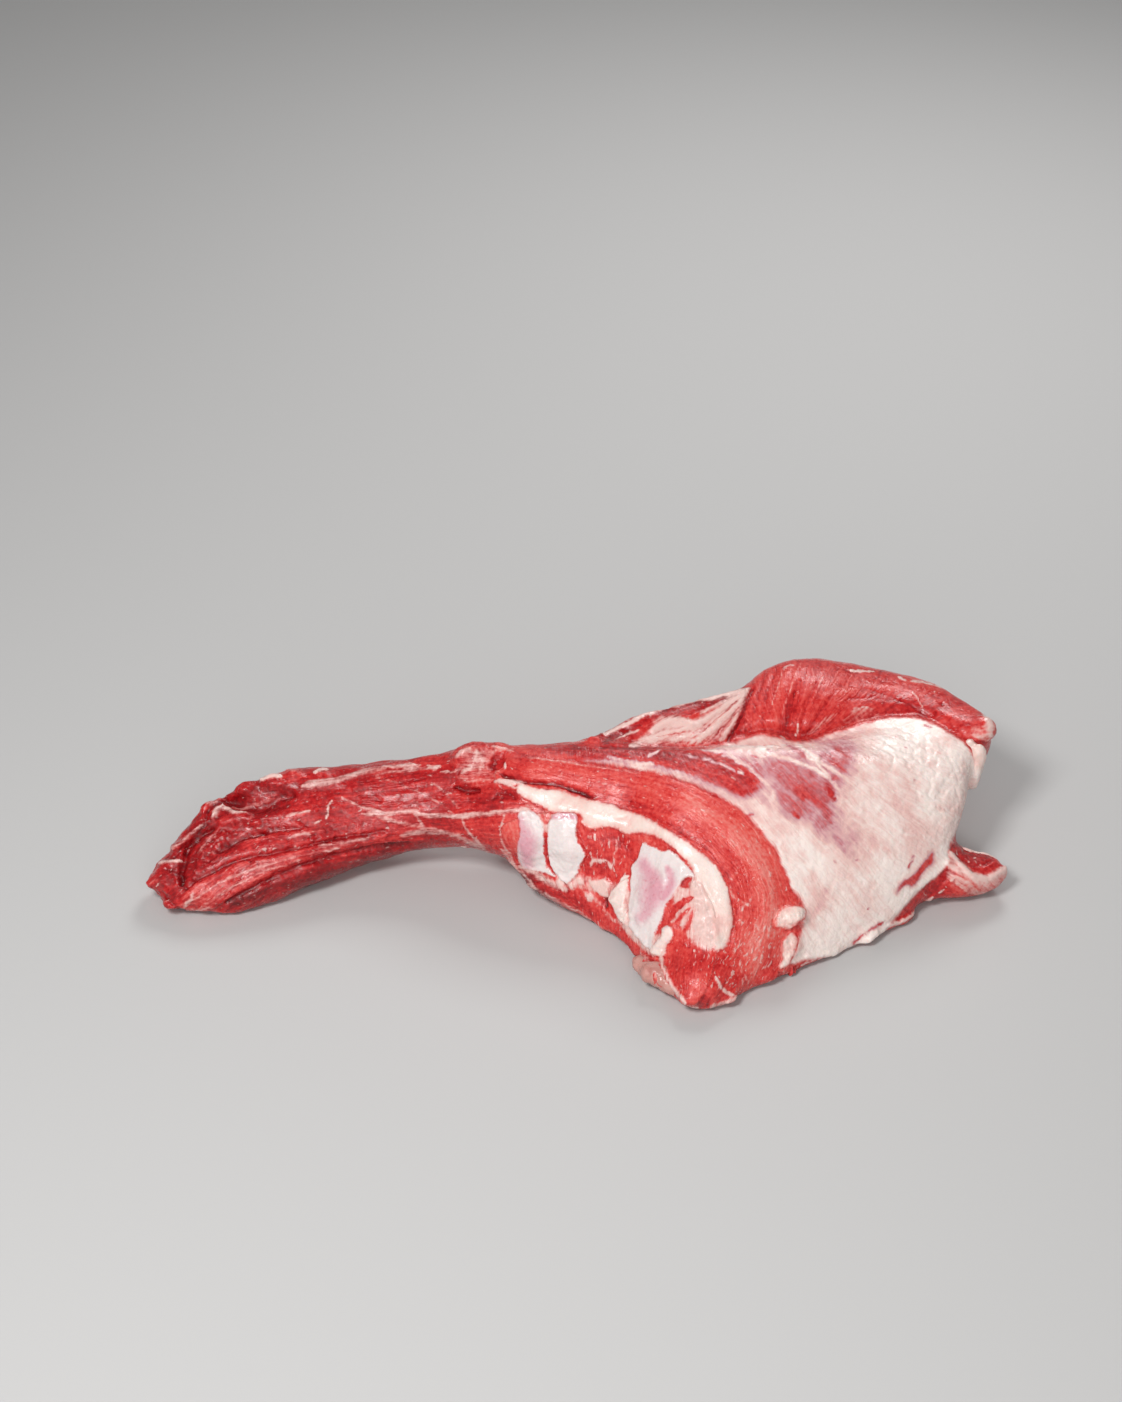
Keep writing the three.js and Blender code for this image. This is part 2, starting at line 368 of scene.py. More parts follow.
TAIL = drawn("""
    148,890 200,800 300,770 420,764 470,780 450,840 330,870 200,912 soft=14 tone=-0.25
    150,890 205,800 250,780 290,790 240,850 190,895 soft=14 tone=-0.3
    226,906 300,872 430,848 500,862 560,900 540,905 440,870 300,905 soft=6 tone=-1.05
    224,798 245,804 262,803 280,797 292,793 width=6.5 lift=-4.6 tone=-0.45
    256,810 272,809 287,804 width=6 lift=-1.8 tone=-0.27
    222,823 240,819 259,823 width=6.5 lift=2 tone=0.21
    240,791 262,785 284,783 width=5 lift=1.6 tone=0.07
    213,818 217,810 222,807 width=2.6 lift=1.6 pale=0.75
    222,807 233,812 246,813 width=2.6 lift=1.4 pale=0.6
    232,806 255,802 276,794 width=2.2 lift=1 tone=0.35 pale=0.2
    264,833 250,836 236,841 217,852 width=3.4 lift=-2.6 tone=-0.36
    300,829 280,831 262,834 width=3.4 lift=-1.2 tone=-0.21
    213,829 200,835 190,846 185,860 182,874 181,885 width=3.4 lift=-3.6 tone=-0.48
    228,834 212,845 201,862 197,876 width=3 lift=1.6 tone=0.14
    219,831 206,842 198,856 width=3.2 lift=1.2 tone=0.17 pale=0.2
    166,869 175,871 181,878 186,888 width=4 lift=-1.6 tone=-0.36
    157,864 168,862 181,861 width=2 lift=1 pale=0.65
    150,884 158,880 166,884 width=2.4 lift=0.8 tone=0.21 pale=0.2
    160,893 168,900 174,905 width=3 lift=-1.4 tone=-0.3
    172,858 184,846 197,832 207,824 width=2 lift=-1.2 tone=-0.3
    165,852 178,844 190,834 204,824 width=1.8 lift=0.8 pale=0.35
    206,818 210,806 221,799 width=2.6 lift=-2 tone=-0.36
    207,804 213,800 220,797 width=2.2 lift=0.8 pale=0.35
    250,788 300,791 345,789 width=5 lift=-0.8 tone=-0.18
    262,818 300,815 340,806 width=6 lift=1.2 tone=0.08
    206,868 230,856 256,850 290,844 width=5 lift=0.9 tone=0.03
    235,842 262,839 300,833 330,828 width=2.7 lift=0.6 tone=0.14 pale=0.15
    188,891 203,880 236,863 262,858 293,851 330,842 370,838 386,834 383,838 350,847 312,857 285,867 255,883
        226,900 207,910 186,910 178,904 soft=2.5 lift=1.3 tone=0.39 pale=0.14
    184,893 202,877 236,860 262,855 300,847 340,838 385,831 width=1.8 lift=-1.5 tone=-0.24
    196,897 236,876 290,859 340,848 width=1.2 lift=0.25 pale=0.35
    204,902 236,885 262,872 300,861 width=1.2 lift=0.25 pale=0.3
    184,906 190,900 194,893 width=1.8 lift=0.5 pale=0.55
    186,909 200,908 212,905 width=1.6 lift=0.4 pale=0.4
    226,904 256,887 290,870 330,857 370,848 410,845 width=2.6 lift=-2 tone=-0.54
    230,910 262,895 300,880 340,868 400,854 width=4.5 tone=-0.15
    232,906 256,896 290,886 294,892 262,905 240,911 soft=4 tone=0.21 pale=0.12
    310,868 350,858 390,850 430,846 width=3.2 tone=-0.54
    262,781 271,776 281,777 width=2.4 lift=1 pale=1
    315,773 320,770 327,770 width=2.2 lift=1 pale=1
    286,770 292,772 302,772 width=2.2 lift=1 pale=0.4
    268,912 276,908 284,903 width=1.9 lift=0.6 pale=0.8
    302,786 312,784 324,782 332,780 width=3.2 lift=0.8 pale=0.56
    302,785 340,779 372,770 414,765 width=3 lift=0.9 pale=0.5
    372,776 410,770 440,766 width=1.8 pale=0.3
    362,814 392,813 414,811 424,814 462,816 489,813 517,810 width=2.8 lift=0.6 pale=0.48
    378,816 396,822 414,826 440,832 width=3 lift=0.4 tone=0.14 pale=0.32
    414,812 420,822 424,832 width=1.8 lift=0.3 pale=0.45
    400,836 430,832 458,836 482,850 504,872 width=3 lift=0.3 pale=0.4
    462,818 466,828 474,838 486,850 518,878 width=1.5 lift=0.2 pale=0.5
    504,814 500,832 506,850 517,866 width=1.2 pale=0.45
    341,797 360,806 384,812 width=1.5 lift=0.3 pale=0.45
    376,778 400,784 430,798 452,812 width=1.4 pale=0.3
    432,782 446,794 458,808 width=1.4 pale=0.35
    318,846 345,842 368,838 width=1.6 lift=0.4 pale=0.4
    290,838 302,834 312,836 width=1.9 lift=0.4 pale=0.35
    326,818 329,809 332,801 width=1.2 lift=0.4 pale=0.75
    314,824 320,820 width=1.2 lift=0.4 pale=0.7
    285,818 300,813 311,812 width=1.4 lift=0.3 pale=0.5
    262,850 266,849 width=1.4 lift=0.4 pale=0.8
    251,861 width=2.4 lift=-2 tone=-0.78
    265,850 width=1.8 lift=-1.6 tone=-0.72
    336,838 width=2 lift=-1.6 tone=-0.72
    298,820 312,828 330,826 width=4 lift=-0.6 tone=-0.15
    352,800 366,796 380,800 width=4.5 lift=-0.8 tone=-0.15
""") + beads("""
    224,832 216,838 209,845 204,853 199,861 213,853 206,864 196,872 219,846 229,838
""", width=1.6, lift=1.2, pale=0.35) + beads("""
    240,826 252,818 268,826 282,840 296,846 236,850 270,842 312,840 346,826 360,832 372,826 388,822
""", width=1.1, lift=0.6, pale=0.4)
# On the knob of the neck the raised mark from 455,770 and the pale streaks from 457,757 to 482,760 are painted
# highlights, the white dot at 505,763 is a painted glint, and the dark pit at 488,770, the dimple at 456,786
# and the pocket line from 501,774 are painted shade.
NECK = drawn("""
    454,768 462,750 480,743 500,745 506,758 500,778 480,788 460,784 soft=8 tone=0.2 pale=0.24
    455,770 461,757 472,748 486,746 width=5 lift=1.5 tone=0.2
    457,757 463,753 470,751 width=2.7 lift=0.5 pale=0.55
    462,773 470,768 476,760 477,752 width=2.6 lift=0.6 pale=0.6
    480,770 482,760 479,752 width=2.3 lift=0.5 pale=0.5
    468,762 476,764 484,768 width=3 pale=0.35
    492,746 502,748 514,752 width=2 lift=0.5 pale=0.4
    488,770 490,759 497,753 504,753 505,762 498,769 soft=4 lift=-2.2 tone=-0.8 pale=0
    505,763 505,768 width=2.3 lift=0.6 pale=1
    462,776 474,780 488,782 width=5 lift=1.2 tone=0.3
    456,786 466,790 478,791 width=4 lift=-3 tone=-0.95
    494,797 506,794 514,799 width=6 lift=-1 tone=-0.6
    460,804 485,804 505,806 width=4 tone=-0.25
    501,774 512,778 526,782 554,784 570,788 590,796 width=2 lift=-2.4 tone=-1.3
    566,788 580,793 592,798 width=2.6 lift=-0.8 tone=-0.9
    494,781 504,780 515,786 520,789 508,787 soft=2 lift=0.6 pale=0.6
    495,782 508,781 518,782 523,783 width=2.6 lift=1 pale=0.8
    400,766 410,767 420,765 width=1.9 lift=0.4 pale=0.6
    428,765 434,768 438,766 width=2.2 lift=0.4 pale=0.55
    440,771 452,772 461,768 width=1.4 pale=0.4
""")
FACE = drawn("""
    480,822 560,812 640,834 690,870 704,950 660,950 600,905 520,870 soft=8 tone=0.2
    556,878 572,872 590,876 606,880 622,884 626,900 612,902 596,894 578,890 soft=4 lift=0.4 pale=0.42
    614,896 626,884 636,900 648,930 664,934 664,950 652,956 634,942 618,922 soft=4 lift=0.5 pale=0.6
    672,880 690,872 706,880 714,904 720,940 708,952 692,944 680,926 672,906 soft=5 lift=0.4 pale=0.62
    514,812 524,806 548,812 556,818 548,834 538,822 526,814 soft=4 pale=0.7
    520,866 534,872 550,882 566,890 width=4 pale=0.6
    463,820 489,815 517,812 519,824 516,845 518,861 507,856 486,842 soft=3 lift=-0.4 tone=0.15
    522,799 541,808 552,815 547,826 538,820 530,811 soft=2 lift=-0.4 tone=0.1 pale=0.25
    520,872 545,884 575,900 605,924 636,962 width=5.5 tone=-0.6
    524,882 552,898 580,912 602,930 630,955 width=2.2 lift=0.4 pale=0.4
    500,848 512,862 524,875 536,887 width=1.6 lift=0.4 pale=0.5
    484,857 507,873 536,888 width=2 lift=0.4 pale=0.5
    476,853 480,855 width=2.4 lift=0.8 pale=1
    462,846 467,848 width=1.9 lift=0.5 pale=0.8
    576,830 582,825 588,830 602,828 615,829 629,837 641,842 641,850 637,860 631,866 631,876 622,882 614,890
        609,881 602,877 592,880 587,885 581,873 582,863 587,856 582,845 soft=2 lift=-1 tone=-0.35
    603,840 612,838 622,842 628,850 width=5.5 lift=-0.5 tone=-0.55
    590,867 593,861 600,862 606,861 width=1.9 lift=0.5 pale=0.75
    608,862 611,868 614,860 width=1.6 lift=0.5 pale=0.7
    594,834 595,840 width=1.4 lift=0.4 pale=0.9
    616,840 617,848 613,855 width=1.4 lift=0.3 pale=0.4
    631,836 641,834 655,839 668,848 663,849 648,843 640,842 soft=1.5 lift=-0.5 tone=0.15 pale=0.1
    546,834 546,846 548,859 552,870 560,880 566,885 width=1.3 lift=-1.5 tone=-1
    538,820 542,828 546,834 width=1.1 lift=-0.8 tone=-0.6
    588,881 596,881 604,878 609,883 609,893 607,898 600,894 592,887 soft=1.6 lift=1 pale=1
    577,877 584,878 585,885 579,884 soft=2 lift=0.8 pale=0.85
    596,898 606,900 609,908 600,908 soft=3 lift=-0.6 tone=-0.8
    608,893 606,902 605,909 width=1.6 lift=-1.6 tone=-1.3
    627,905 626,916 622,924 width=1 lift=-1 tone=-0.8
    584,892 596,900 606,912 616,922 width=1.9 lift=0.4 pale=0.35
    560,886 572,892 584,900 width=2.6 tone=-0.4
    674,937 684,934 697,939 705,944 711,956 715,968 717,981 705,991 694,997 684,998 675,988 667,976 663,964
        664,950 soft=2.5 lift=-0.2 tone=-0.15
    672,944 683,939 693,945 697,960 691,974 679,975 671,962 soft=5 tone=-0.25
    663,950 662,964 668,980 676,992 686,1003 width=2.3 lift=0.6 pale=0.75
    646,950 654,962 664,980 676,997 width=1.8 lift=-0.5 tone=-0.35
    640,952 650,964 660,982 674,1000 width=2.7 lift=0.3 pale=0.35
    678,1003 688,1008 698,1008 width=2.4 lift=0.5 pale=0.8
    697,1002 704,994 711,999 708,1007 699,1009 soft=1.8 lift=-0.4 tone=-0.8
    710,1007 720,1004 732,1000 742,995 750,990 width=2.7 lift=0.5 pale=0.65
    716,976 720,986 728,994 734,996 width=1.8 lift=0.4 pale=0.7
    690,884 698,880 706,884 712,900 717,922 718,944 708,948 700,938 694,930 692,918 698,906 694,894 soft=5
        lift=0.5 pale=0.9
    696,898 688,908 680,916 672,922 width=3 lift=0.3 pale=0.6
    668,912 676,902 688,896 694,898 684,906 672,918 soft=1.6 lift=-0.5 tone=-0.4 pale=0
    676,922 684,914 690,908 width=2 tone=-0.3 pale=0
    684,932 690,922 692,912 width=2.2 tone=-0.3 pale=0
    680,926 686,920 width=1.6 pale=0.7
    694,934 702,932 706,938 width=2.2 lift=0.4 pale=0.9
    703,884 708,894 713,906 716,918 width=1.2 lift=-0.8 tone=-0.6 pale=0.4
    680,887 682,881 690,877 692,882 690,889 soft=1.8 lift=-1.2 tone=-0.8 pale=0
    716,904 width=1.4 tone=-1 pale=0
    723,927 width=1.4 tone=-1 pale=0
    633,958 635,968 634,978 width=2.4 lift=-0.4 tone=-0.9
    694,951 width=1.2 lift=0.3 pale=1
""") + beads("""
    561,882 571,886 590,897 614,900 621,909 628,924 637,935 647,945 654,953 632,915
""", width=3.6, lift=1.2, pale=0.95) + beads("""
    693,886 700,893 704,908 709,922 700,926 709,938 697,904
""", width=3.4, lift=1.6, pale=0.95) + beads("""
    616,920 606,915 598,906 590,900 574,890 586,896 640,950 660,990 700,970 706,984 690,984 680,990
""", width=1, lift=0.4, pale=0.55)
# The dark sunk mark at 771,920 beside the nub is painted shade.
BAND = drawn("""
    545,744 600,744 660,748 700,752 716,760 690,764 640,760 560,756 soft=6 tone=-0.8
    700,752 724,756 748,770 760,782 740,782 712,770 soft=4 tone=-0.4
    690,800 736,834 762,868 768,912 750,965 width=20 tone=0.75
    512,764 560,771 610,780 660,792 705,812 740,840 762,876 768,915 760,955 735,990 width=11 lift=1.3
        tone=0.35
    594,797 640,811 672,826 702,845 722,868 734,900 738,930 width=2.4 lift=-0.6 tone=-0.1
    526,758 560,762 600,768 640,773 width=1.6 lift=0.4 pale=0.3
    560,775 600,783 640,800 width=0.8 pale=0.3
    600,772 640,784 664,798 width=0.8 pale=0.25
    730,838 742,858 748,880 width=0.8 pale=0.3
    727,870 731,880 738,868 736,858 width=1.2 pale=0.35
    729,884 733,897 740,900 748,906 width=1.2 lift=0.3 pale=0.35
    742,910 748,903 752,898 width=1 lift=0.3 pale=0.7
    736,938 742,952 740,968 748,985 width=1 pale=0.4
    754,920 760,940 756,962 width=0.9 pale=0.4
    768,930 770,950 764,970 width=0.9 pale=0.35
    771,920 773,926 777,928 width=2 lift=-1 tone=-0.8
    766,914 776,902 800,898 812,912 810,934 804,958 786,976 772,964 770,940 soft=8 tone=0.4 pale=0.14
    784,932 790,929 797,926 width=1.6 lift=-0.6 tone=-0.5 pale=0
""") + beads("""
    541,767 563,775 666,799 684,820 679,815 737,820 765,859 745,905
""", width=0.9, lift=0.3, pale=0.7)
WALL = drawn("""
    604,735 623,726 643,716 650,713 667,707 694,701 722,696 749,689 width=1.9 lift=0.9 pale=1
    604,742 625,731 650,718 669,711 694,706 724,700 738,697 width=4.2 tone=-0.8
    626,745 640,730 660,716 690,712 714,706 746,692 744,710 728,740 690,748 650,748 soft=9 tone=0.3
        pale=0.3
    640,742 662,736 690,728 712,716 732,702 748,691 width=3.6 lift=0.8 pale=0.95
    653,731 664,724 680,722 692,724 width=5.5 lift=1.1 pale=1
    698,740 714,727 730,712 743,699 width=3.2 lift=0.9 pale=1
    720,740 731,726 740,711 748,698 width=2.4 lift=0.6 pale=0.75
    672,741 694,735 712,725 728,711 width=2 lift=0.5 pale=0.85
    630,745 650,741 676,739 700,742 width=2.4 lift=0.3 pale=0.7
    692,716 708,709 724,702 738,695 width=2 lift=0.3 pale=0.6
    700,733 718,719 738,700 width=1.4 lift=-0.5 tone=-0.2 pale=0.3
    714,738 726,724 738,708 width=1.4 lift=-0.5 tone=-0.2 pale=0.3
    656,738 674,734 692,731 width=1.2 lift=-0.4 pale=0.3
    679,716 688,712 700,711 698,718 686,720 soft=3 lift=0.3 tone=0.1 pale=0
    616,741 626,732 644,727 646,733 634,740 622,744 soft=2.6 lift=0.4 pale=0.05
    614,741 624,735 640,730 width=1.2 lift=0.4 pale=0.6
    600,747 640,747 680,748 712,748 width=1.8 lift=-0.8 tone=-0.6
    752,688 745,704 738,720 728,740 width=2.4 lift=-1.8 tone=-0.9 pale=0
    588,738 596,734 604,735 width=2.4 lift=0.8 tone=-0.4
""")
# On the rolled muscle the light streak from 812,668 is a painted highlight, and the darker tone of its sunk
# grooves is painted shade.
LOBE = drawn("""
    765,672 758,694 752,716 748,734 width=2.2 lift=-0.5 tone=-0.21
    776,668 768,690 763,712 764,733 width=2 lift=-0.6 tone=-0.21
    799,680 793,696 790,710 788,722 width=1.7 lift=-0.8 tone=-0.36
    816,683 809,698 805,710 801,730 width=2.4 lift=-0.8 tone=-0.3
    836,690 824,706 815,720 808,734 width=2.2 lift=-0.5 tone=-0.18
    806,668 800,690 796,712 width=1.5 lift=-0.4 tone=-0.15
    790,664 782,684 776,706 776,728 width=3 lift=0.5 tone=0.35
    800,664 792,684 786,702 782,716 width=1.2 lift=0.3 tone=0.35 pale=0.25
    784,668 778,686 772,706 width=0.9 lift=0.2 pale=0.35
    812,668 814,680 810,690 width=2.2 lift=0.3 tone=0.28 pale=0.25
    824,676 818,690 812,700 width=1.2 lift=0.2 pale=0.3
    783,668 788,666 793,665 width=1.3 lift=0.2 pale=0.6
    797,722 798,730 796,736 width=0.9 lift=0.2 pale=0.85
    840,684 870,690 900,700 926,712 width=2.2 lift=-0.4 tone=-0.18
    850,698 880,698 910,704 930,716 width=1 lift=-0.4 tone=-0.18
    820,700 850,690 880,686 920,690 width=4 lift=0.4 tone=0.14
    866,676 892,684 925,692 950,702 width=2.4 lift=-0.2 tone=-0.15
    910,691 917,698 923,707 width=0.9 lift=0.2 pale=0.5
    942,704 width=2 lift=-0.7 tone=-0.78
    936,710 934,718 941,724 width=1.2 lift=-0.3 tone=-0.3
    934,718 width=1.2 lift=0.2 pale=0.9
    850,716 857,710 866,712 width=2.6 pale=0.8
    846,721 854,717 864,718 874,716 width=2 pale=0.7
    862,707 870,709 877,713 width=1.6 lift=0.4 pale=0.9
    840,720 856,708 880,708 880,720 860,724 soft=4 pale=0.2
    812,733 824,722 838,714 width=3 tone=0.14 pale=0.3
    836,668 842,669 850,672 860,673 width=1.8 lift=-0.4 tone=-0.6
    850,670 862,671 874,671 width=1 lift=0.2 pale=1
    898,677 906,680 width=1 lift=0.2 pale=0.9
    910,681 930,684 948,689 width=0.9 lift=0.2 pale=0.7
    964,695 974,702 984,712 989,722 width=3.4 lift=0.2 tone=0.35 pale=0.6
    972,734 980,726 988,724 991,733 989,741 979,740 soft=2.5 lift=0.2 tone=0.42 pale=0.45
    920,690 950,698 972,712 974,728 950,722 930,708 soft=6 tone=-0.12
    960,737 968,739 978,742 986,742 width=1.6 lift=-0.5 tone=-0.36
    958,690 972,698 983,708 989,720 991,736 width=3.6 lift=0.3 pale=0.95
    972,728 980,730 986,738 width=5 tone=0.4 pale=0.3
    860,690 900,694 940,704 968,716 960,726 930,716 900,708 860,704 soft=8 tone=-0.35
    786,728 790,708 796,690 width=7 lift=-0.8 tone=-0.3
""") + beads("""
    768,690 760,716 772,722 786,690 830,700 846,692 870,684 890,690 860,700 838,706 898,696 934,692 956,702
    806,676
""", width=0.9, lift=0.2, pale=0.5)
# The pale raised lip of the flap along 948,862 to 1007,870 and 950,852 to 1006,866 is partly its own paler
# colour and partly a painted highlight.
FLAP = drawn("""
    954,853 964,847 974,843 984,845 995,857 991,863 978,868 969,866 961,860 soft=2.5 lift=-1.6 tone=-0.4
    950,868 968,884 988,888 1006,876 1004,890 985,898 960,892 946,878 soft=5 tone=0.3 pale=0.4
    956,852 970,845 986,846 996,858 988,864 972,864 soft=5 tone=-0.25
    948,862 958,872 972,880 986,883 998,878 1007,870 width=7 lift=1.6 tone=0.7 pale=0.5
    950,852 956,861 964,869 974,876 985,878 996,873 1006,866 width=3 lift=1.4 pale=0.9
    956,862 964,871 973,877 width=2.2 lift=0.5 pale=0.8
    949,848 955,846 962,845 width=1.8 tone=-0.8
    884,924 898,913 916,893 936,876 952,867 956,872 942,886 932,898 914,912 898,922 soft=2 lift=-0.8
        tone=-0.35
    887,926 904,920 919,909 933,898 width=1.5 lift=0.6 pale=0.85
    938,893 943,890 width=1 lift=0.4 pale=1
    950,881 954,878 width=1 lift=0.4 pale=0.8
    973,790 971,799 966,812 width=2.4 tone=-0.4
    806,956 830,954 850,951 868,941 884,928 width=3 lift=1
    801,965 812,960 822,957 width=1.2 lift=0.3 pale=0.6
""") + beads("""
    975,856 981,864 970,861
""", width=1, lift=0.4, pale=0.9)
DRAWN = TAIL + NECK + FACE + BAND + WALL + LOBE + FLAP

# Outlines of what is let into the cut face or lies over the meat, and two that divide it.
SEAM = places("""
    516,789 519,782 530,785 541,788 552,789 561,789 575,795 590,798 614,805 643,815 663,826 680,837 696,848
    710,860 720,872 727,887 731,902 734,916 733,930 729,944 722,951 714,951 711,938 709,920 705,903 702,890
    695,879 692,871 684,860 671,848 655,838 643,834 629,835 614,829 602,828 590,830 582,824 578,815 566,815
    553,814 541,807 522,797
""")
BONE_1 = places("""
    518,813 530,811 539,815 544,825 545,838 545,848 546,858 549,867 556,877 545,874 531,870 522,866 517,858
    517,846 519,831
""")
BONE_2 = places("""
    548,828 549,820 555,813 567,812 577,814 578,824 577,832 579,841 587,855 582,864 578,875 569,884 563,883
    554,874 549,864 547,852 547,838
""")
BONE_3 = places("""
    641,844 647,843 663,850 671,849 684,861 694,873 695,878 688,878 682,883 679,889 673,897 668,904 665,915
    661,924 657,933 655,946 652,950 643,944 637,936 631,927 630,915 629,903 630,890 630,877 631,866 637,858
""")
STRIP = places("""
    623,876 629,876 629,890 627,903 629,916 625,924 620,921 615,911 610,901 611,892 616,884
""")
KNUCKLE = places("""
    651,950 657,941 662,936 662,929 668,925 674,929 674,937 669,945 666,951 664,957 656,957
""")
NUB = places("""
    774,921 779,911 789,905 800,906 806,910 805,918 800,921 795,924 791,930 783,929 776,927
""")
FAT_STRIP = places("""
    783,940 788,932 794,932 800,940 798,949 794,958 787,967 779,968 781,958 780,949
""")
MEMBRANE = places("""
    503,758 540,760 590,765 622,770 655,775 680,782 706,793 731,807 749,821 763,838 774,852 780,868 786,880
    788,889 794,895 800,902 801,914 799,931 793,948 788,966 806,963 823,960 846,958 867,948 888,932 903,915
    920,895 939,878 952,862 952,848 962,828 972,800 984,784 978,760 967,742 957,734 943,726 929,719 916,715
    900,715 883,716 864,721 847,726 830,731 814,737 798,739 781,735 764,732 750,734 730,741 700,745 660,745
    620,746 580,745 540,746 505,748
""")
CUT_FACE = places("""
    500,832 552,812 600,826 655,836 694,868 712,920 716,960 690,1012 650,975 560,892
""")
CUP = places("""
    728,742 740,736 750,734 764,732 781,735 798,739 814,737 830,731 847,726 864,721 883,716 900,715 916,715
    929,719 943,726 957,734 968,742
""")

# Where the membrane is thinner or thicker, and where the bones are lilac. The two small spots at film 1 near
# 729,745 and 735,763 are painted highlights.
FILMS = drawn("""
    690,782 730,802 768,832 800,856 width=13 film=0.66
    880,750 930,765 945,810 920,850 870,870 835,850 840,800 soft=26 film=0.76
    500,745 560,744 640,742 720,742 790,736 850,726 876,750 850,800 856,850 826,850 796,832 770,816 725,794
        660,776 600,768 500,760 soft=26 film=0.29
    500,744 560,745 640,744 700,746 740,758 764,782 748,800 706,786 660,772 600,765 500,760 soft=8
        film=0.14
    606,760 640,760 672,768 700,780 730,796 722,802 690,784 660,774 628,768 600,765 soft=4 film=0.45
    520,751 560,751 620,751 680,751 700,753 width=3.4 film=0.12
    694,752 712,752 728,756 740,764 752,772 761,781 748,782 732,776 716,772 700,764 soft=2.6 film=0.04
    640,760 668,762 700,768 width=2.2 film=0.08
    684,771 704,773 724,778 733,783 width=2.4 film=0.06
    540,757 560,758 590,760 width=2.6 film=0.1
    740,779 752,783 761,782 width=1.6 film=0
    722,756 745,764 762,780 776,800 width=1.6 film=0.6
    700,750 724,753 742,762 width=1.5 film=0.72
    608,757 626,760 640,764 654,762 width=1.3 film=0.65
    650,756 656,753 660,749 width=1.1 film=0.8
    618,764 640,768 664,776 width=1.3 film=0.6
    688,758 706,760 722,766 736,772 width=1.2 film=0.45
    729,745 734,746 width=2 film=1
    735,763 740,764 width=1.6 film=1
    738,771 744,774 width=1.4 film=0.95
    653,764 width=1.4 film=1
    758,765 770,767 788,772 805,778 813,791 824,804 832,818 822,824 812,814 799,803 786,786 770,776 soft=6
        film=0.25
    806,800 818,818 826,834 width=5 film=0.35
    828,790 832,795 836,800 width=2.2 film=0.1
    700,790 716,800 734,812 width=5 film=0.45
    792,811 799,818 width=1.9 film=0
    745,816 752,814 width=1.7 film=0.1
    748,740 764,736 784,740 800,748 818,760 836,772 860,786 width=1.6 film=0.85
    757,742 764,750 776,756 792,762 812,768 828,778 width=1.7 film=0.85
    762,740 770,746 782,744 width=1.4 film=0.9
    806,756 820,766 838,790 852,806 width=1.3 film=0.7
    786,746 794,749 804,756 width=2.4 film=0.22
    751,755 757,757 width=2.4 film=0.12
    767,750 770,752 width=1.6 film=0.25
    808,760 815,767 width=2 film=0.35
    934,851 936,861 926,873 919,883 913,891 905,889 898,896 894,890 898,881 908,874 914,870 921,860 929,853
        soft=5 film=0.14
    802,905 806,925 798,948 width=6 film=0.55
    907,869 911,861 912,855 width=1.5 film=0.1
    851,943 862,934 874,928 883,922 width=1.9 film=0.08
    880,923 width=1.8 film=0
    826,892 width=1.4 film=0
    836,863 width=1.2 film=0.1
    873,881 width=1.2 film=0.1
    869,909 width=1.2 film=0.1
    858,860 width=1.2 film=0.1
    897,737 width=1.4 film=0
    905,749 width=1.2 film=0.1
    938,753 width=1.4 film=0
    913,781 width=1.2 film=0.1
    923,725 932,728 width=1.7 film=0
    812,876 818,900 806,930 width=9 film=0.6
    926,800 944,812 954,822 width=8 film=0.7
    962,760 966,790 956,822 width=5 film=0.72
    905,716 912,715 918,716 width=1.4 film=1
""")
BLUSH = drawn("""
    520,822 526,842 528,862 width=15
    646,864 655,882 652,902 646,916 width=15
    668,868 672,882 664,898 width=7
    552,818 566,816 577,818 width=5
""")


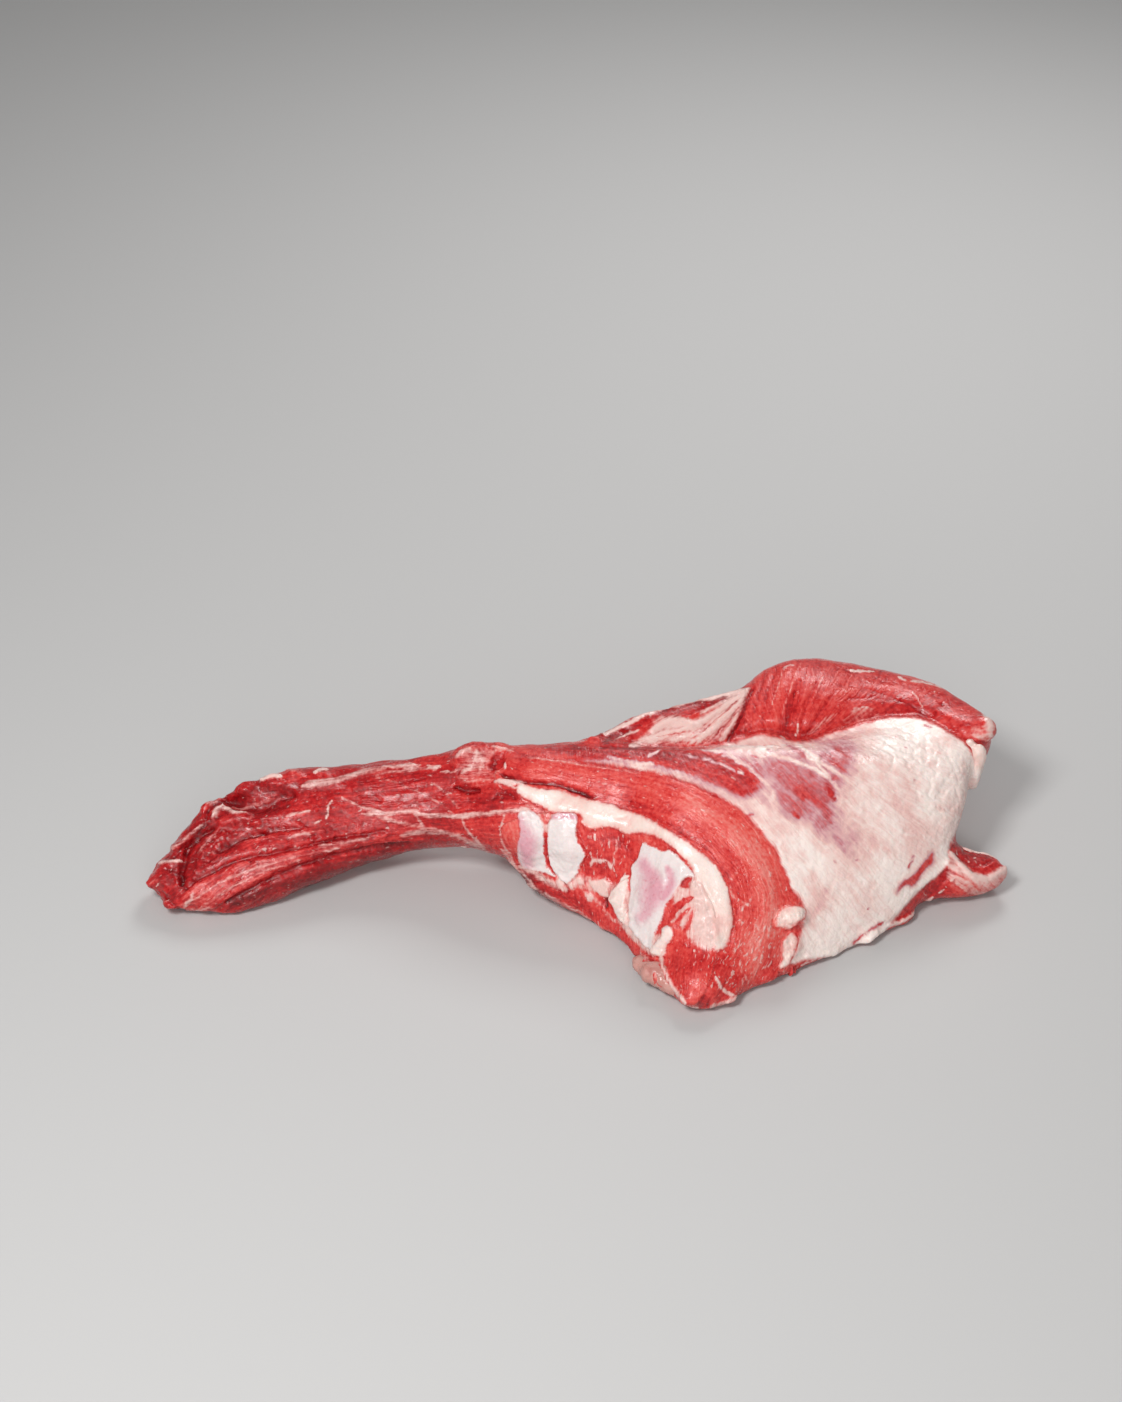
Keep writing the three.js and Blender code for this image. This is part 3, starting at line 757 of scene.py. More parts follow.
# ---- A mesh as arrays -------------------------------------------------------------------------------------
class Skin:
    """The surface of one object as arrays: places, normals, pixels and what the photograph shows of it."""

    CLEAR = 2.5 * MM  # how far off the skin a look towards the camera starts
    GRAZING = -0.02  # how far a vertex may turn away and still be looked at
    SOFT_SIGHT = 8  # how often what is seen is eased
    LOWEST = 0.05 * MM  # nothing is moved lower than this

    def __init__(self, obj: Object) -> None:
        """Reads the object's mesh.

        Args:
            obj: the object.
        """
        self.obj = obj
        self.mesh = obj.data
        self.count = len(self.mesh.vertices)
        self.at = self.read("co")
        edges = np.empty(len(self.mesh.edges) * 2, np.int32)
        self.mesh.edges.foreach_get("vertices", edges)
        self.edges = edges.reshape(-1, 2)
        self.ties = np.maximum(np.bincount(self.edges.ravel(), minlength=self.count), 1)
        self.normal = self.read("normal")
        self.px = VIEW.pixels(self.at)
        self.away = self.normal @ VIEW.axes()[2]
        self.seen = np.ones(self.count)

    def read(self, what: str) -> np.ndarray:
        """Reads the mesh as it stands.

        Args:
            what: "co" for the places of its vertices, or "normal".

        Returns:
            One row a vertex.
        """
        flat = np.empty(self.count * 3, np.float32)
        self.mesh.vertices.foreach_get(what, flat)
        return flat.reshape(-1, 3).astype(float)

    def eased(self, values: np.ndarray, turns: int, share: float = 0.6) -> np.ndarray:
        """Spreads values over neighbouring vertices.

        Args:
            values: one value or one row a vertex.
            turns: how many times.
            share: how far a vertex goes towards its neighbours' mean each time.

        Returns:
            The eased values.
        """
        a, b = self.edges[:, 0], self.edges[:, 1]
        columns = values.reshape(self.count, -1).T.copy()
        for _ in range(turns):
            for column in columns:
                total = np.bincount(a, column[b], self.count) + np.bincount(b, column[a], self.count)
                column += share * (total / self.ties - column)
        return columns.T.reshape(values.shape)

    def look(self, tree: BVHTree) -> None:
        """Finds what the photograph's camera sees of the surface.

        Args:
            tree: everything that may stand in the way.
        """
        way = np.array(VIEW.place) - self.at
        way /= np.linalg.norm(way, axis=1)[:, None]
        start = self.at + self.normal * self.CLEAR
        seen = np.zeros(self.count)
        for i in np.flatnonzero(np.sum(way * self.normal, axis=1) > self.GRAZING):
            seen[i] = tree.ray_cast(Vector(start[i]), Vector(way[i]))[0] is None
        self.seen = np.clip(self.eased(seen, self.SOFT_SIGHT), 0, 1)

    def move(self, lift: np.ndarray, even: int = 4) -> None:
        """Moves every vertex along its eased normal.

        Args:
            lift: how far, in metres.
            even: how often the normals are eased first.
        """
        way = self.eased(self.normal, even)
        way /= np.maximum(np.linalg.norm(way, axis=1)[:, None], TINY)
        self.at = self.at + way * lift[:, None]
        self.at[:, 2] = np.maximum(self.at[:, 2], self.LOWEST)
        self.mesh.vertices.foreach_set("co", self.at.astype(np.float32).ravel())
        self.mesh.update()
        self.normal = self.read("normal")

    def crests(self, turns: int) -> np.ndarray:
        """Returns how far each vertex stands above its surroundings, in millimetres."""
        return np.sum((self.at - self.eased(self.at, turns)) * self.normal, axis=1) / MM

    def keep(self, name: str, values: np.ndarray) -> None:
        """Stores one number a vertex under a name that a material reads."""
        layer = self.mesh.attributes.get(name) or self.mesh.attributes.new(name, "FLOAT", "POINT")
        layer.data.foreach_set("value", values.astype(np.float32))


def wandering(skin: Skin, seeds: Sequence[int], sizes: Sequence[float], reach: Sequence[float]) -> np.ndarray:
    """Moves the skin's pixel places a little by noise, so that what is drawn there gets ragged edges.

    Args:
        skin: the surface.
        seeds: two seeds of the coarse noise and two of the fine.
        sizes: the size of the coarse and of the fine noise, in millimetres.
        reach: how far each moves a place, in pixels.

    Returns:
        The places.
    """
    coarse = np.stack([Noise(seed).layers(skin.at, sizes[0] * MM) for seed in seeds[:2]], axis=1)
    fine = np.stack([Noise(seed).at(skin.at / (sizes[1] * MM)) for seed in seeds[2:]], axis=1)
    return skin.px + reach[0] * coarse + reach[1] * fine


def freed(bm: BMesh, name: str) -> Mesh:
    """Writes a bmesh to a new mesh and frees it.

    Args:
        bm: what is written.
        name: the mesh's name.

    Returns:
        The mesh.
    """
    mesh = bpy.data.meshes.new(name)
    bm.to_mesh(mesh)
    bm.free()
    return mesh


def linked(name: str, mesh: Mesh) -> Object:
    """Makes an object of a mesh, smooth shaded, and links it into the scene.

    Args:
        name: the object's name.
        mesh: its mesh.

    Returns:
        The object.
    """
    obj = bpy.data.objects.new(name, mesh)
    bpy.context.scene.collection.objects.link(obj)
    mesh.shade_smooth()
    return obj


def settled(obj: Object) -> Object:
    """Applies an object's modifiers.

    Args:
        obj: the object.

    Returns:
        The same object with its final mesh.
    """
    bpy.context.view_layer.update()
    made = bpy.data.meshes.new_from_object(obj.evaluated_get(bpy.context.evaluated_depsgraph_get()))
    old = obj.data
    obj.modifiers.clear()
    obj.data = made
    made.name = obj.name
    bpy.data.meshes.remove(old)
    made.shade_smooth()
    return obj


def node_mesh(node: str, grow: float = 0.0, sink: float = 0.0) -> Mesh:
    """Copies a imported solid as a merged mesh.

    Args:
        node: the solid's name.
        grow: how far its faces are moved out, in metres.
        sink: how far it is moved away from the photograph's camera, in metres.

    Returns:
        The copy.
    """
    back = Vector(VIEW.axes()[2])
    bm = bmesh.new()
    bm.from_mesh(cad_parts[node].data)
    bmesh.ops.remove_doubles(bm, verts=bm.verts, dist=1e-5)
    bm.normal_update()
    for vert in bm.verts:
        vert.co += vert.normal * grow - back * sink
    return freed(bm, node)


def remeshed(obj: Object, voxel: float, ease: int) -> Object:
    """Gives an object one even skin.

    Args:
        obj: an object whose closed pieces may overlap.
        voxel: the spacing of the new skin.
        ease: how many times it is smoothed after.

    Returns:
        The same object.
    """
    skin = obj.modifiers.new("skin", "REMESH")
    skin.mode, skin.voxel_size = "VOXEL", voxel
    ironed = obj.modifiers.new("ironed", "SMOOTH")
    ironed.factor, ironed.iterations = 0.5, ease
    return settled(obj)


def rounded(obj: Object, levels: int = 1) -> Object:
    """Subdivides an object smoothly.

    Args:
        obj: the object.
        levels: how many times.

    Returns:
        The same object.
    """
    rounding = obj.modifiers.new("rounding", "SUBSURF")
    rounding.levels = rounding.render_levels = levels
    return settled(obj)


def thinned(obj: Object, most: int = 190_000) -> Object:
    """Thins an object's mesh if it has too many triangles.

    Args:
        obj: the object.
        most: how many triangles it may have.

    Returns:
        The same object.
    """
    count = sum(len(face.vertices) - 2 for face in obj.data.polygons)
    if count <= most:
        return obj
    thinning = obj.modifiers.new("thinning", "DECIMATE")
    thinning.ratio = most / count
    return settled(obj)


# ---- Grain ------------------------------------------------------------------------------------------------
@dataclass(frozen=True)
class Course:
    """How the fibres of one part run and show.

    They follow a line, or spread from a point at a usual reach in pixels. Cords and lumps are heights in
    millimetres, and tone and marbling are added to what the finish reads.
    """

    line: str
    reach: float | None = None
    cords: float = 0.4
    lumps: float = 0.5
    tone: float = 0.0
    marbling: float = 0.2


class Grain(Enum):
    """The parts whose fibres run their own way."""

    # The tail's lower tone is partly its own darker red and partly painted shade.
    TAIL = Course("148,892 190,866 245,832 320,816 400,806 480,800 540,800",
                  cords=0.65, lumps=1.2, tone=-0.35)
    BAND = Course("480,752 560,771 620,781 680,799 725,827 757,866 768,910 757,955 730,1010",
                  cords=0.2, lumps=0.4, tone=0.12)
    LOBE = Course("788,762", reach=100.0, cords=0.32, tone=0.1, marbling=-0.3)
    DOME = Course("540,540", reach=400.0, tone=-0.1)
    FACE = Course("655,1290", reach=400.0, cords=0.3, tone=0.3)
    WALL = Course("768,678", reach=80.0, lumps=0.4, tone=-0.3)

    @property
    def number(self) -> int:
        """Returns the part's place in the order above."""
        return list(Grain).index(self)

    @staticmethod
    def each(what: str, zone: np.ndarray) -> np.ndarray:
        """Returns one of the courses' values for each vertex, from its part's number."""
        return np.array([getattr(grain.value, what) for grain in Grain])[zone]

    def measure(self, at: np.ndarray) -> tuple[np.ndarray, np.ndarray]:
        """Measures pixel places against the fibres.

        Args:
            at: the places.

        Returns:
            How far across and along the fibres they lie, in millimetres.
        """
        points, reach, scale = places(self.value.line), self.value.reach, PIXEL / MM
        if reach is not None:
            off = at - np.array(points[0])
            return np.arctan2(off[:, 1], off[:, 0]) * reach * scale, np.hypot(*off.T) * scale
        distance, run, hand = follow(at, curved(points))
        return distance * hand * scale, run * scale


@dataclass(frozen=True)
class Bundle:
    """One bundle of muscle on the sides that the photograph doesn't show."""

    middle: tuple[float, float, float]
    way: tuple[float, float, float]


@dataclass
class Weave:
    """The fibres over a skin: how far across and along, their relief, and the seams between bundles."""

    across: np.ndarray
    along: np.ndarray
    cords: np.ndarray
    threads: np.ndarray
    seams: np.ndarray


# ---- The shape of the skin --------------------------------------------------------------------------------
@dataclass
class Terrain:
    """What the surface of the meat looks like at any place: its relief, its grain and its tones.

    Heights and depths are in millimetres, and what ends in tone is added to what the finish reads. The stored
    tone also carries painted shade in hollows and painted highlight on crests.
    """

    tree: BVHTree
    bundles: tuple[Bundle, ...] = (
        Bundle((-185, 40, 25), (0.95, 0.2, 0.1)),
        Bundle((-90, 68, 30), (0.96, 0.1, 0.1)),
        Bundle((10, 78, 40), (0.9, 0.2, -0.3)),
        Bundle((0, 70, 10), (0.95, 0.3, 0.1)),
        Bundle((85, 100, 45), (0.8, 0.3, -0.55)),
        Bundle((95, 98, 12), (1.0, 0.0, 0.12)),
        Bundle((165, 108, 50), (0.95, -0.1, -0.1)),
        Bundle((170, 96, 14), (0.9, -0.2, 0.35)),
        Bundle((228, 62, 34), (0.5, -0.85, 0.1)),
        Bundle((222, 20, 20), (0.1, -0.95, 0.3)),
        Bundle((100, 10, 0), (1.0, 0.3, 0.0)),
        Bundle((-60, 10, 0), (1.0, 0.4, 0.0)),
    )
    seam_width: float = 4.5
    seam_depth: float = 0.7
    seam_gaps: Cloud = Cloud(10, 44, 2)
    bundle_bend: float = 9.0
    cord_size: tuple[float, float] = (5.0, 42.0)
    cord_tone: float = 0.22
    thread_size: tuple[float, float] = (1.9, 16.0)
    thread_share: float = 0.24
    lumps: Cloud = Cloud(7, 26, 4)
    lump_tone: float = 0.2
    hidden_lump_height: float = 1.5
    knobs: Cloud = Cloud(8, 11)
    knob_height: float = 1.1
    tail_end: tuple[float, float] = (330, 190)
    folds: Cloud = Cloud(9, 46, 3, (1.0, 1.0, 1.6))
    fold_height: float = 1.8
    fold_tone: float = 0.5
    fell: Cloud = Cloud(11, 46, 4, (0.6, 1.0, 1.2))
    floor_fade: float = 5 * MM
    cup_depth: float = 2.4
    cup_width: float = 5.0
    cup_back: float = 4.0
    # Painted shade: how much darker the furrow behind the dome is made.
    cup_shade: float = 0.2
    marbled: tuple[Mark, ...] = drawn("604,855 width=34 pale=0.6 745,955 width=40 pale=1 ")

    def zones(self, at: np.ndarray) -> np.ndarray:
        """Finds the part that pixel places lie in.

        Args:
            at: the places.

        Returns:
            The parts' numbers in the order of Grain.
        """
        x, y = at.T
        found = {
            Grain.FACE: depth_in(at, CUT_FACE) > 0,
            Grain.LOBE: (x > 745) & (y < np.interp(x, *np.array(CUP).T)),
            Grain.WALL: (x > 600) & (x < 750) & (y < 747),
            Grain.DOME: x > 800,
            Grain.BAND: (x > 545) | ((x > 495) & (y < 790)),
        }
        return np.select(list(found.values()), [part.number for part in found], Grain.TAIL.number)

    def relief(self, skin: Skin) -> tuple[np.ndarray, np.ndarray, np.ndarray]:
        """Works out what the drawn marks do, and the furrow behind the dome, darkened with painted shade.

        Args:
            skin: the surface.

        Returns:
            How far they lift the skin, in millimetres, and its tone and paleness.
        """
        at = wandering(skin, (3, 4, 13, 14), (9, 2.6), (1.5, 0.8))
        lift, tone, pale = np.zeros(skin.count), np.zeros(skin.count), np.zeros(skin.count)
        for mark in DRAWN:
            strength = mark.strength(at) * skin.seen
            lift += mark.lift * strength
            tone += mark.tone * strength
            if mark.pale is not None:
                pale += (mark.pale - pale) * strength
        cup, _, side = follow(at, curved(CUP))
        behind = np.exp(-(((cup * side) + self.cup_back) / self.cup_width) ** 2) * skin.seen
        behind *= smooth(728, 748, at[:, 0]) * smooth(984, 972, at[:, 0])
        # The furrow behind the dome is sunk and given painted shade.
        return lift - self.cup_depth * behind, tone - self.cup_shade * behind, pale

    def bundled(self, skin: Skin) -> tuple[np.ndarray, np.ndarray, np.ndarray]:
        """Measures the skin against the bundles of muscle.

        Args:
            skin: the surface.

        Returns:
            How far across and along its bundle each vertex lies, and how near to a seam between two.
        """
        bend = np.stack([Cloud(seed, 40).over(skin.at) for seed in (21, 22, 23)], axis=1)
        bent = skin.at / MM + self.bundle_bend * bend
        gaps = np.stack([np.linalg.norm((bent - np.array(b.middle)), axis=1) for b in self.bundles])
        order = np.argsort(gaps, axis=0)
        span = np.take_along_axis(gaps, order, axis=0)
        nearness = np.exp(-(((span[1] - span[0]) / self.seam_width) ** 2))
        across, along = np.zeros(skin.count), np.zeros(skin.count)
        for number, bundle in enumerate(self.bundles):
            there = order[0] == number
            way = np.array(bundle.way) / np.linalg.norm(bundle.way)
            off = skin.at[there] / MM - np.array(bundle.middle)
            along[there] = off @ way
            rest = off - along[there][:, None] * way
            across[there] = rest[:, 2] + rest[:, 1] * 0.8 + rest[:, 0] * 0.6 + 40.0 * number
        return across, along, nearness

    def fibres(self, across: np.ndarray, along: np.ndarray) -> tuple[np.ndarray, np.ndarray]:
        """Works out the relief of the fibres.

        Args:
            across: how far across the fibres each vertex lies, in millimetres.
            along: how far along them.

        Returns:
            The thick cords and the fine threads.
        """
        level = np.zeros(len(across))
        rope = np.stack([across / self.cord_size[0], along / self.cord_size[1], level], axis=1)
        fine = np.stack([across / self.thread_size[0], along / self.thread_size[1], level + 1], axis=1)
        return Noise(5).layers(rope, 1.0, 2), Noise(6).layers(fine, 1.0, 2)

    def woven(self, skin: Skin, zone: np.ndarray) -> Weave:
        """Lays the fibres over the skin, by its parts where the photograph shows it and else by its bundles.

        Args:
            skin: the surface.
            zone: the part's number of each vertex.

        Returns:
            The fibres.
        """
        across, along = np.zeros(skin.count), np.zeros(skin.count)
        for grain in Grain:
            there = zone == grain.number
            across[there], along[there] = grain.measure(skin.px[there])
        cords, threads = self.fibres(across, along)
        hidden_across, hidden_along, seams = self.bundled(skin)
        hidden_cords, hidden_threads = self.fibres(hidden_across, hidden_along)
        hidden, unseen = skin.seen < 0.5, 1 - skin.seen
        return Weave(
            across=np.where(hidden, hidden_across, across),
            along=np.where(hidden, hidden_along, along),
            cords=cords + (hidden_cords - cords) * unseen,
            threads=threads + (hidden_threads - threads) * unseen,
            seams=seams * (smooth(-0.25, 0.3, self.seam_gaps.over(skin.at)) * unseen),
        )

    def skinned(self, skin: Skin, weave: Weave) -> np.ndarray:
        """Works out the pale thin skin over the sides that the photograph doesn't show.

        Args:
            skin: the surface.
            weave: its fibres.

        Returns:
            How pale it makes each vertex.
        """
        fell = self.fell.over(skin.at) + 0.25 * weave.cords + 0.1 * weave.threads
        fell = smooth(-0.05, 0.75, fell + 0.35 * smooth(30 * MM, 75 * MM, skin.at[:, 2]) - 0.1)
        return np.maximum(fell * 0.75, 0.4 * weave.seams)

    def shape(self, skin: Skin, share: np.ndarray | float = 1.0, extra: np.ndarray | float = 0.0) -> None:
        """Moves the skin into furrows, ridges and fibres and stores what the finishes read.

        Args:
            skin: the surface.
            share: how strongly the fibres stand out.
            extra: a further lift in millimetres.
        """
        skin.look(self.tree)
        unseen = 1 - skin.seen
        lift, tone, pale = self.relief(skin)
        zone = self.zones(skin.px)
        weave = self.woven(skin, zone)
        strong = Grain.each("cords", zone) * skin.seen + unseen
        lumps, knobs, folds = (cloud.over(skin.at) for cloud in (self.lumps, self.knobs, self.folds))
        tail_end = smooth(*self.tail_end, skin.px[:, 0])
        lift += share * strong * (weave.cords + self.thread_share * weave.threads)
        lift += (Grain.each("lumps", zone) * skin.seen + self.hidden_lump_height * unseen) * lumps
        lift += self.knob_height * tail_end * share * knobs - self.seam_depth * weave.seams
        lift += self.fold_height * folds * unseen
        lift = lift * smooth(0.0, self.floor_fade, skin.at[:, 2]) + extra
        patterns = self.cord_tone * weave.cords * strong + self.lump_tone * lumps
        tone += share * (patterns + Grain.each("tone", zone))
        tone += unseen * (self.fold_tone * folds - 0.1)
        pale = np.maximum(pale, self.skinned(skin, weave) * unseen)
        skin.move(lift * MM)
        # Painted shade and highlight: the tone is lowered where the skin lies below its surroundings and raised
        # where it stands above them.
        tone += np.clip(0.4 * skin.crests(6) + 0.15 * skin.crests(2), -0.6, 0.7)
        marbled = np.maximum.reduce([mark.pale * mark.strength(skin.px) for mark in self.marbled])
        marbled += Grain.each("marbling", zone)
        skin.keep("across", weave.across)
        skin.keep("along", weave.along)
        skin.keep("tone", tone)
        skin.keep("pale", pale)
        skin.keep("marbled", np.clip(marbled * skin.seen + 0.5 * unseen, -0.3, 1))


# ---- The body of meat -------------------------------------------------------------------------------------
@dataclass
class Bump:
    """A lump on the surface at a pixel: its half sizes in millimetres, its turn and how deep it sits."""

    px: tuple[float, float]
    size: tuple[float, float, float]
    turn: float = 0.0
    sunk: float = 1.0

    def add(self, bm: BMesh, tree: BVHTree) -> None:
        """Adds the lump to a mesh, where its pixel meets a form.

        Args:
            bm: what it is added to.
            tree: the form.
        """
        place, normal, _, _ = tree.ray_cast(Vector(VIEW.place), VIEW.ray(*self.px))
        if place is None:
            LOG.warning("the lump at %s misses the meat", self.px)
            return
        centre = place - normal * self.sunk * MM
        centre.z = max(centre.z, self.size[2] * MM)
        turn = Matrix.Rotation(math.radians(self.turn), 4, "Z")
        size = Matrix.Diagonal((*[s * MM for s in self.size], 1.0))
        matrix = Matrix.Translation(centre) @ turn @ size
        bmesh.ops.create_icosphere(bm, subdivisions=2, radius=1.0, matrix=matrix)


@dataclass
class Meat:
    """The whole body of muscle: tail, neck, cut face, band, dome, wall, rolled muscle and flap.

    Solids that stand proud of the meat are melted in almost as they are, and the others are grown and sunk
    first, which fills their sockets. Sizes are in millimetres, but for the voxel's, which is in metres.
    """

    voxel: float = 1.9 * MM
    ease: int = 14
    proud: tuple[str, ...] = ("fat_tab", "under_fat", "fat_nub", "fat_strip", "cartilage_knuckle")
    proud_grown: float = 0.2
    grown: float = 1.3
    sunk: float = 2.1
    covered: tuple[float, float] = (0.4, 2.6)
    covered_depth: float = 1.7
    covered_calm: float = 0.7
    turned: float = -0.15
    bumps: tuple[Bump, ...] = (
        Bump((160, 858), (7, 5, 5), 40),
        Bump((153, 882), (6, 5, 4), 10),
        Bump((172, 904), (7, 5, 5)),
        Bump((182, 846), (7, 5, 5), 30),
        Bump((211, 808), (7, 6, 5), 20),
        Bump((226, 798), (7, 5, 4), 20),
        Bump((247, 788), (9, 6, 5), 20),
        Bump((272, 780), (7, 4, 4)),
        Bump((294, 776), (7, 4, 4)),
        Bump((322, 775), (6, 3.5, 3.5)),
        Bump((472, 752), (13, 9, 6), 20),
        Bump((494, 750), (10, 8, 5), 20),
        Bump((596, 741), (7, 4.5, 5)),
        Bump((636, 964), (4, 4, 6)),
        Bump((690, 1000), (8, 5, 4)),
        Bump((728, 998), (7, 5, 4)),
        Bump((770, 976), (9, 5, 4), 30),
        Bump((868, 936), (8, 5, 4), 30),
        Bump((905, 921), (8, 4, 3), 35),
        Bump((982, 728), (10, 9, 8)),
        Bump((972, 848), (9, 5, 5), -20),
    )
    fine_zones: tuple[str, ...] = (
        "140,920 140,830 250,755 440,738 530,738 530,860 300,920",
        "455,800 520,780 600,815 700,850 735,930 730,1015 670,1015 600,940 470,860",
        "590,748 590,725 690,690 770,650 880,664 1000,700 1000,750 960,736 880,716 800,740 700,748",
        "885,930 950,860 960,835 1012,850 1012,890 940,905",
    )
    obj: Object = field(init=False)
    base: Object = field(init=False)
    terrain: Terrain = field(init=False)

    def build(self) -> None:
        """Makes the even form of the body from its solids."""
        form = linked("meat_form", node_mesh("meat"))
        rounded(form)
        bm = bmesh.new()
        bm.from_mesh(form.data)
        tree = BVHTree.FromBMesh(bm)
        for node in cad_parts:
            if node in self.proud:
                bm.from_mesh(node_mesh(node, self.proud_grown * MM))
            elif node != "meat":
                bm.from_mesh(node_mesh(node, self.grown * MM, self.sunk * MM))
        for bump in self.bumps:
            bump.add(bm, tree)
        bm.to_mesh(form.data)
        bm.free()
        self.base = remeshed(form, self.voxel, self.ease)
        self.terrain = Terrain(BVHTree.FromObject(self.base, bpy.context.evaluated_depsgraph_get()))

    def refine(self, pieces: Sequence["Inlay"]) -> None:
        """Copies the form, subdivides what the photograph shows of bare meat and shapes the skin.

        Args:
            pieces: what lies in or on the meat, which is lowered under it.
        """
        skin = Skin(self.base)
        shown = np.zeros(skin.count, bool)
        for zone in self.fine_zones:
            shown |= (depth_in(skin.px, places(zone)) > 0) & (skin.away > self.turned)
        bm = bmesh.new()
        bm.from_mesh(self.base.data)
        edges = [e for e in bm.edges if shown[e.verts[0].index] and shown[e.verts[1].index]]
        bmesh.ops.subdivide_edges(bm, edges=edges, cuts=1, use_grid_fill=True)
        bmesh.ops.triangulate(bm, faces=[f for f in bm.faces if len(f.verts) > 4])
        self.obj = linked("veal_meat", freed(bm, "veal_meat"))
        skin = Skin(self.obj)
        skin.at = skin.eased(skin.at, 2, 0.4)
        skin.move(np.zeros(skin.count))
        covered = np.zeros(skin.count)
        for piece in pieces:
            covered = np.maximum(covered, smooth(*self.covered, piece.depth(skin)))
        self.terrain.shape(skin, 1 - self.covered_calm * covered, -self.covered_depth * covered)
        thinned(self.obj)

    def finish(self, material: Material) -> None:
        """Dresses the body and takes the form that the pieces were cut from away."""
        dress(self.obj, material, "meat", "meat")
        bpy.data.objects.remove(self.base)


def dress(obj: Object, material: Material, slot: str, *nodes: str) -> None:
    """Gives a piece its material and ties it to the frame.

    Args:
        obj: the piece.
        material: its finish.
        slot: the record's slot of that finish; not used.
        nodes: the solids that it stands for.
    """
    obj.data.materials.clear()
    obj.data.materials.append(material)
    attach(obj, "root")
    if nodes:
        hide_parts(*nodes)
    LOG.info("%s: %d faces", obj.name, len(obj.data.polygons))


# ---- Pieces cut from the skin -----------------------------------------------------------------------------
@dataclass
class Inlay:
    """A piece in or on the meat, cut from its skin along an outline, with its sizes in millimetres."""

    name: str
    slot: str
    nodes: tuple[str, ...]
    outline: Places
    proud: float = 0.7
    edge: float = 1.6
    margin: float = 3.0
    dip: float = 2.4
    thick: float = 4.0
    levels: int = 2
    lumps: float = 0.3
    lump_size: float = 5.0
    ragged: float = 0.8
    ragged_size: float = 7.0
    turned: float = -0.1
    turned_fade: float = 25.0
    fibres: float = 0.25
    seed: int = 20
    obj: Object = field(init=False)

    def ragging(self, skin: Skin) -> np.ndarray:
        """Returns how far the outline is moved out or in at each vertex."""
        return self.ragged * Cloud(self.seed, self.ragged_size).over(skin.at)

    def depth(self, skin: Skin) -> np.ndarray:
        """Returns how deep inside the outline each vertex lies in millimetres, with a ragged edge."""
        inside = depth_in(skin.px, self.outline) * PIXEL / MM
        return np.minimum(inside, (skin.away - self.turned) * self.turned_fade) + self.ragging(skin)

    def cut(self, meat: Meat) -> None:
        """Cuts the piece from the form of the meat, shapes it, raises it and gives it thickness.

        Args:
            meat: the body.
        """
        within = self.depth(Skin(meat.base))
        bm = bmesh.new()
        bm.from_mesh(meat.base.data)
        keep = within > -self.margin - 1.0
        spare = [f for f in bm.faces if not any(keep[v.index] for v in f.verts)]
        bmesh.ops.delete(bm, geom=spare, context="FACES")
        self.obj = rounded(linked(self.name, freed(bm, self.name)), self.levels)
        skin = Skin(self.obj)
        within = self.depth(skin)
        meat.terrain.shape(skin, self.fibres, self.rise(skin, within))
        skin.keep("within", within)
        self.store(skin)
        wall = self.obj.modifiers.new("wall", "SOLIDIFY")
        wall.thickness, wall.offset = self.thick * MM, -1.0
        thinned(settled(self.obj))

    def rise(self, skin: Skin, within: np.ndarray) -> np.ndarray:
        """Works out how far the piece stands above the meat.

        Args:
            skin: its surface.
            within: how deep inside its outline each vertex lies.

        Returns:
            The height of each vertex in millimetres.
        """
        lumps = self.lumps * Cloud(self.seed + 1, self.lump_size).over(skin.at)
        raised = self.proud * smooth(-self.edge / 2, self.edge, within) + lumps * smooth(0, 2, within)
        return raised - self.dip * smooth(0.2, -self.margin, within)

    def store(self, skin: Skin) -> None:
        """Stores what the finish of bone reads."""
        skin.keep("blush", np.maximum.reduce([mark.strength(skin.px) for mark in BLUSH]))

    def finish(self, material: Material) -> None:
        """Dresses the piece and ties it to the frame."""
        dress(self.obj, material, self.slot, *self.nodes)


